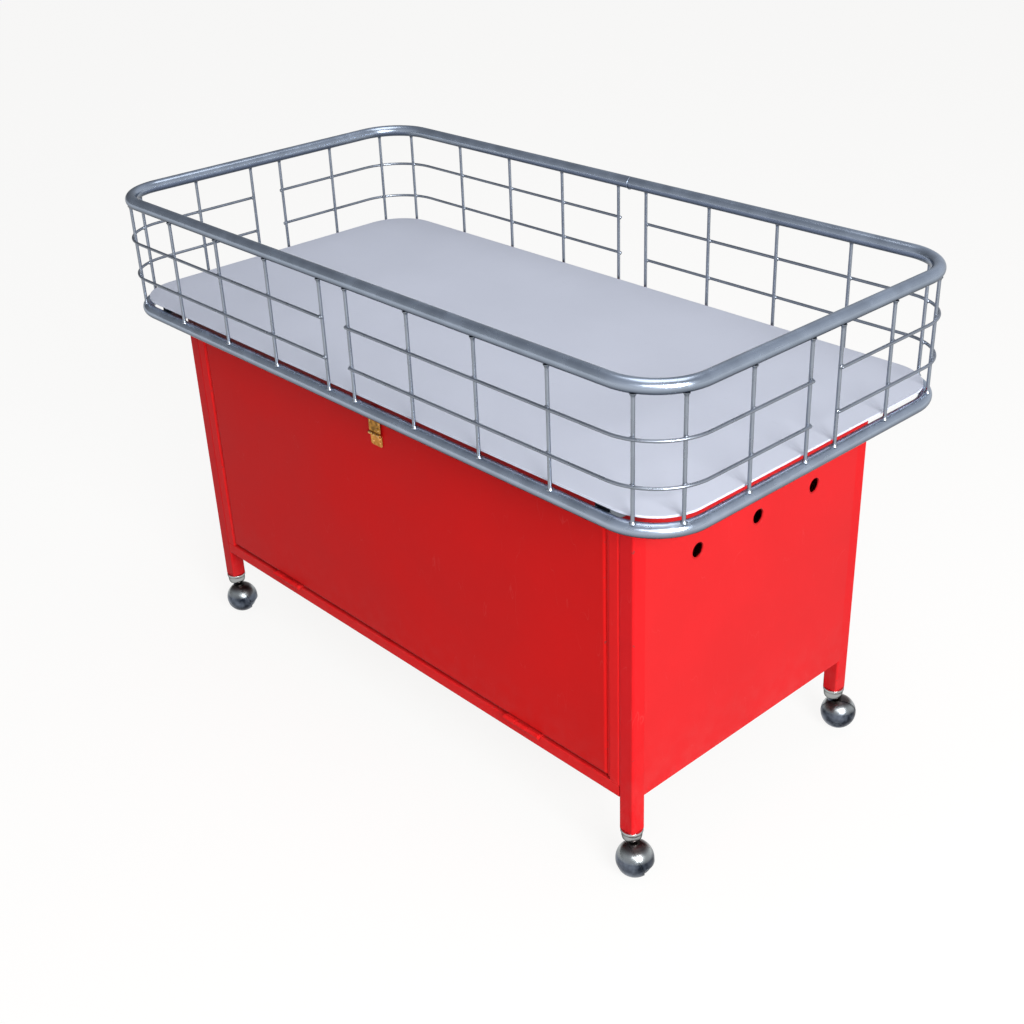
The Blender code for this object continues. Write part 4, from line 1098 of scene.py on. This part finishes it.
def make_hood(name, on_axle, stem):
    """Half-ball shell cut off below its middle, with a rolled rim, a neck and a stem."""
    centre = on_axle.translation
    ball = centre.z
    work = bmesh.new()
    outside = ball_profile(ball, HOOD_TOP, HOOD_MOUTH, steps=26)
    inside = ball_profile(ball - HOOD_WALL, HOOD_MOUTH, HOOD_TOP, steps=20)
    shell = [(0, -ball), *outside, *inside, (0, HOOD_WALL - ball)]
    turned(work, shell, BALL_SIDES, on_axle)
    geometry = work.verts[:] + work.edges[:] + work.faces[:]
    cut_at = centre - UP * HOOD_SKIRT
    done = bmesh.ops.bisect_plane(
        work, geom=geometry, plane_co=cut_at, plane_no=-UP, clear_outer=True
    )
    edges = [item for item in done["geom_cut"] if isinstance(item, bmesh.types.BMEdge)]
    bmesh.ops.holes_fill(work, edges=edges, sides=0)
    tube(work, hood_rim(cut_at, ball, on_axle.col[2]), HOOD_BEAD, sides=10)

    socket_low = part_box(f"{name}_socket")[0].z
    shoulder = socket_low - NECK_PLAY
    levels = (
        (socket_low + STEM_RISE, STEM),
        (shoulder, STEM),
        (shoulder, NECK - NECK_SOFT),
        (shoulder - NECK_PLAY, NECK),
    )
    rings = []
    for height, radius in levels:
        rings.append([(x, y, height) for x, y in circle((stem.x, stem.y), radius, NECK_SIDES)])
    foot = []
    for x, y in circle((stem.x, stem.y), NECK, NECK_SIDES):
        flat = Vector((x - centre.x, y - centre.y))
        rise = math.sqrt((ball - HOOD_WALL / 2) ** 2 - flat.length_squared)
        foot.append((x, y, centre.z + rise))
    loft(work, rings + [foot])
    piece(f"{name}_shell", work, BALL_CHROME, f"{name}_swivel", [f"{name}_hood"])


def hood_rim(cut_at, ball, axle, steps=16):
    """Route of the rolled rim along the hood's cut edge, as far as its mouth on both sides."""
    across = math.sqrt(ball**2 - HOOD_SKIRT**2) - HOOD_BEAD * HOOD_BEAD_SINK
    level = Vector(axle[:2])
    short_of_mouth = 0.06  # radians
    half = math.acos(HOOD_SKIRT * -axle.z / (across * level.length)) - short_of_mouth
    route = []
    for step in range(-steps, steps + 1):
        flat = Matrix.Rotation(half * step / steps, 2) @ -level.normalized()
        route.append(cut_at + across * Vector((*flat, 0)))
    return route


def make_collar(name):
    """Chrome cup under the leg, with the sleeve that plugs the leg's end."""
    low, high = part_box(f"{name}_socket")
    height = high.z - low.z
    flange = (high.x - low.x) / 2
    cup = CUP_TOP - CUP_LIP
    profile = [(SLEEVE, height), (SLEEVE, CUP_TOP)]
    profile += [(flange - CUP_SOFT, CUP_TOP), (flange, CUP_TOP - CUP_SOFT)]
    profile.append((flange, CUP_TOP - CUP_LIP * LIP_STRAIGHT))
    profile.append((flange - LIP_STEP, CUP_TOP - CUP_LIP * LIP_TURN))
    for across, down in arc((0, 0), 1.0, 0, -math.pi / 2, steps=8):
        radius = CUP_FOOT + (flange - CUP_ROUND - CUP_FOOT) * across
        profile.append((radius, CUP_ROUND + (cup - CUP_ROUND) * (1 + down)))
    profile += [(CUP_FOOT - CUP_ROUND, 0.0), (BORE, 0.0), (BORE, height)]
    middle = (low + high) / 2
    work = bmesh.new()
    turned(work, profile, steps=56, matrix=Matrix.Translation((middle.x, middle.y, low.z)))
    node = f"{name}_socket"
    piece(f"{name}_collar", work, SOCKET_CHROME, "frame", [node], angle=50)


# Stage

FLOOR_HALF, FLOOR_DROP = 20.0, 0.0002
FLOOR_GREY, FLOOR_LIT = 0.55, 0.12  # as light falls on it, and as it is seen
FLOOR_GLOW, FLOOR_GLOW_STRENGTH = colour(1.0, 0.995, 0.985), 0.885
HORIZON, OVERHEAD = (0.92, 0.93, 0.95), (0.40, 0.42, 0.46)
SENSOR, LENS = 36.0, 50.073  # millimetres
CAMERA_SPOT = (1.5198, -1.3412, 1.3949)
CAMERA_TURN, CAMERA_DIP, CAMERA_ROLL = 48.324, 28.590, -2.457  # degrees


def make_floor():
    """A pale floor that stays white to the eye and keeps a soft shadow."""
    work = bmesh.new()
    bmesh.ops.create_grid(work, x_segments=1, y_segments=1, size=FLOOR_HALF)
    mesh = bpy.data.meshes.new("floor")
    work.to_mesh(mesh)
    work.free()
    floor = new_object("floor", mesh)
    floor.location.z = -FLOOR_DROP
    material = bpy.data.materials.new("pale_floor")
    material.use_nodes = True
    tree = material.node_tree
    tree.nodes.clear()
    path = add(tree, "LightPath").outputs
    seen = maths(tree, "MAXIMUM", path["Is Camera Ray"], path["Is Glossy Ray"])
    seen = maths(tree, "MAXIMUM", seen, path["Is Transmission Ray"])
    plain = add(tree, "BsdfDiffuse", {"Color": colour(FLOOR_GREY, FLOOR_GREY, FLOOR_GREY)})
    lit = add(tree, "BsdfDiffuse", {"Color": colour(FLOOR_LIT, FLOOR_LIT, FLOOR_LIT)})
    glow = add(tree, "Emission", {"Color": FLOOR_GLOW, "Strength": FLOOR_GLOW_STRENGTH})
    both = add(tree, "AddShader", {0: lit.outputs[0], 1: glow.outputs[0]})
    shown = add(tree, "MixShader", {0: seen, 1: plain.outputs[0], 2: both.outputs[0]})
    out = add(tree, "OutputMaterial", {"Surface": shown.outputs[0]})
    out.is_active_output = True
    mesh.materials.append(material)


def make_world():
    """White at the horizon, falling off to a cool grey overhead and darker to the left."""
    world = bpy.data.worlds.new("studio")
    bpy.context.scene.world = world
    world.use_nodes = True
    tree = world.node_tree
    direction = add(tree, "TexCoord").outputs["Generated"]
    parts = add(tree, "SeparateXYZ", {0: direction}).outputs
    sky = blend(tree, span(tree, parts["Z"], 0.08, 0.75), HORIZON, OVERHEAD)
    strength = span(tree, parts["X"], -0.95, -0.35, 0.20, 0.75)
    back = tree.nodes["Background"]
    tree.links.new(sky, back.inputs["Color"])
    tree.links.new(strength, back.inputs["Strength"])


def make_lamp(name, spot, aim, size, power):
    lamp = bpy.data.lights.new(name, "AREA")
    lamp.shape = "RECTANGLE"
    lamp.size, lamp.size_y = size
    lamp.energy = power
    obj = new_object(name, lamp)
    obj.location = spot
    obj.rotation_euler = (Vector(aim) - Vector(spot)).to_track_quat("-Z", "Y").to_euler()


def make_camera():
    camera = bpy.data.cameras.new("photo_view")
    camera.sensor_width = SENSOR
    camera.lens = LENS
    obj = new_object("photo_view", camera)
    turn = Matrix.Rotation(math.radians(CAMERA_TURN), 4, "Z")
    tilt = Matrix.Rotation(math.radians(90 - CAMERA_DIP), 4, "X")
    roll = Matrix.Rotation(math.radians(CAMERA_ROLL), 4, "Z")
    obj.matrix_world = Matrix.Translation(CAMERA_SPOT) @ turn @ tilt @ roll
    bpy.context.scene.camera = obj


make_rims()
make_wire_panels()
make_deck()
make_cross_bars()
make_frame_tubes()
make_side_panels()
make_back_and_floor()
make_door()
make_hinges()
make_hasp_leaf()
make_hasp_strap()
make_hasp_pin()
make_hasp_staple()
make_casters()
make_floor()
make_world()
make_lamp("window", (3.4, -1.2, 1.8), aim=(0.2, 0.0, 0.45), size=(1.7, 1.7), power=132)
make_lamp("camera_side", (1.75, -1.55, 1.62), aim=(0.0, 0.0, 0.35), size=(1.6, 0.4), power=10)
make_lamp("overhead", (0.2, 0.3, 4.0), aim=(0.0, 0.0, 0.5), size=(2.4, 2.4), power=28)
make_camera()
bpy.context.scene.view_settings.view_transform = "Standard"
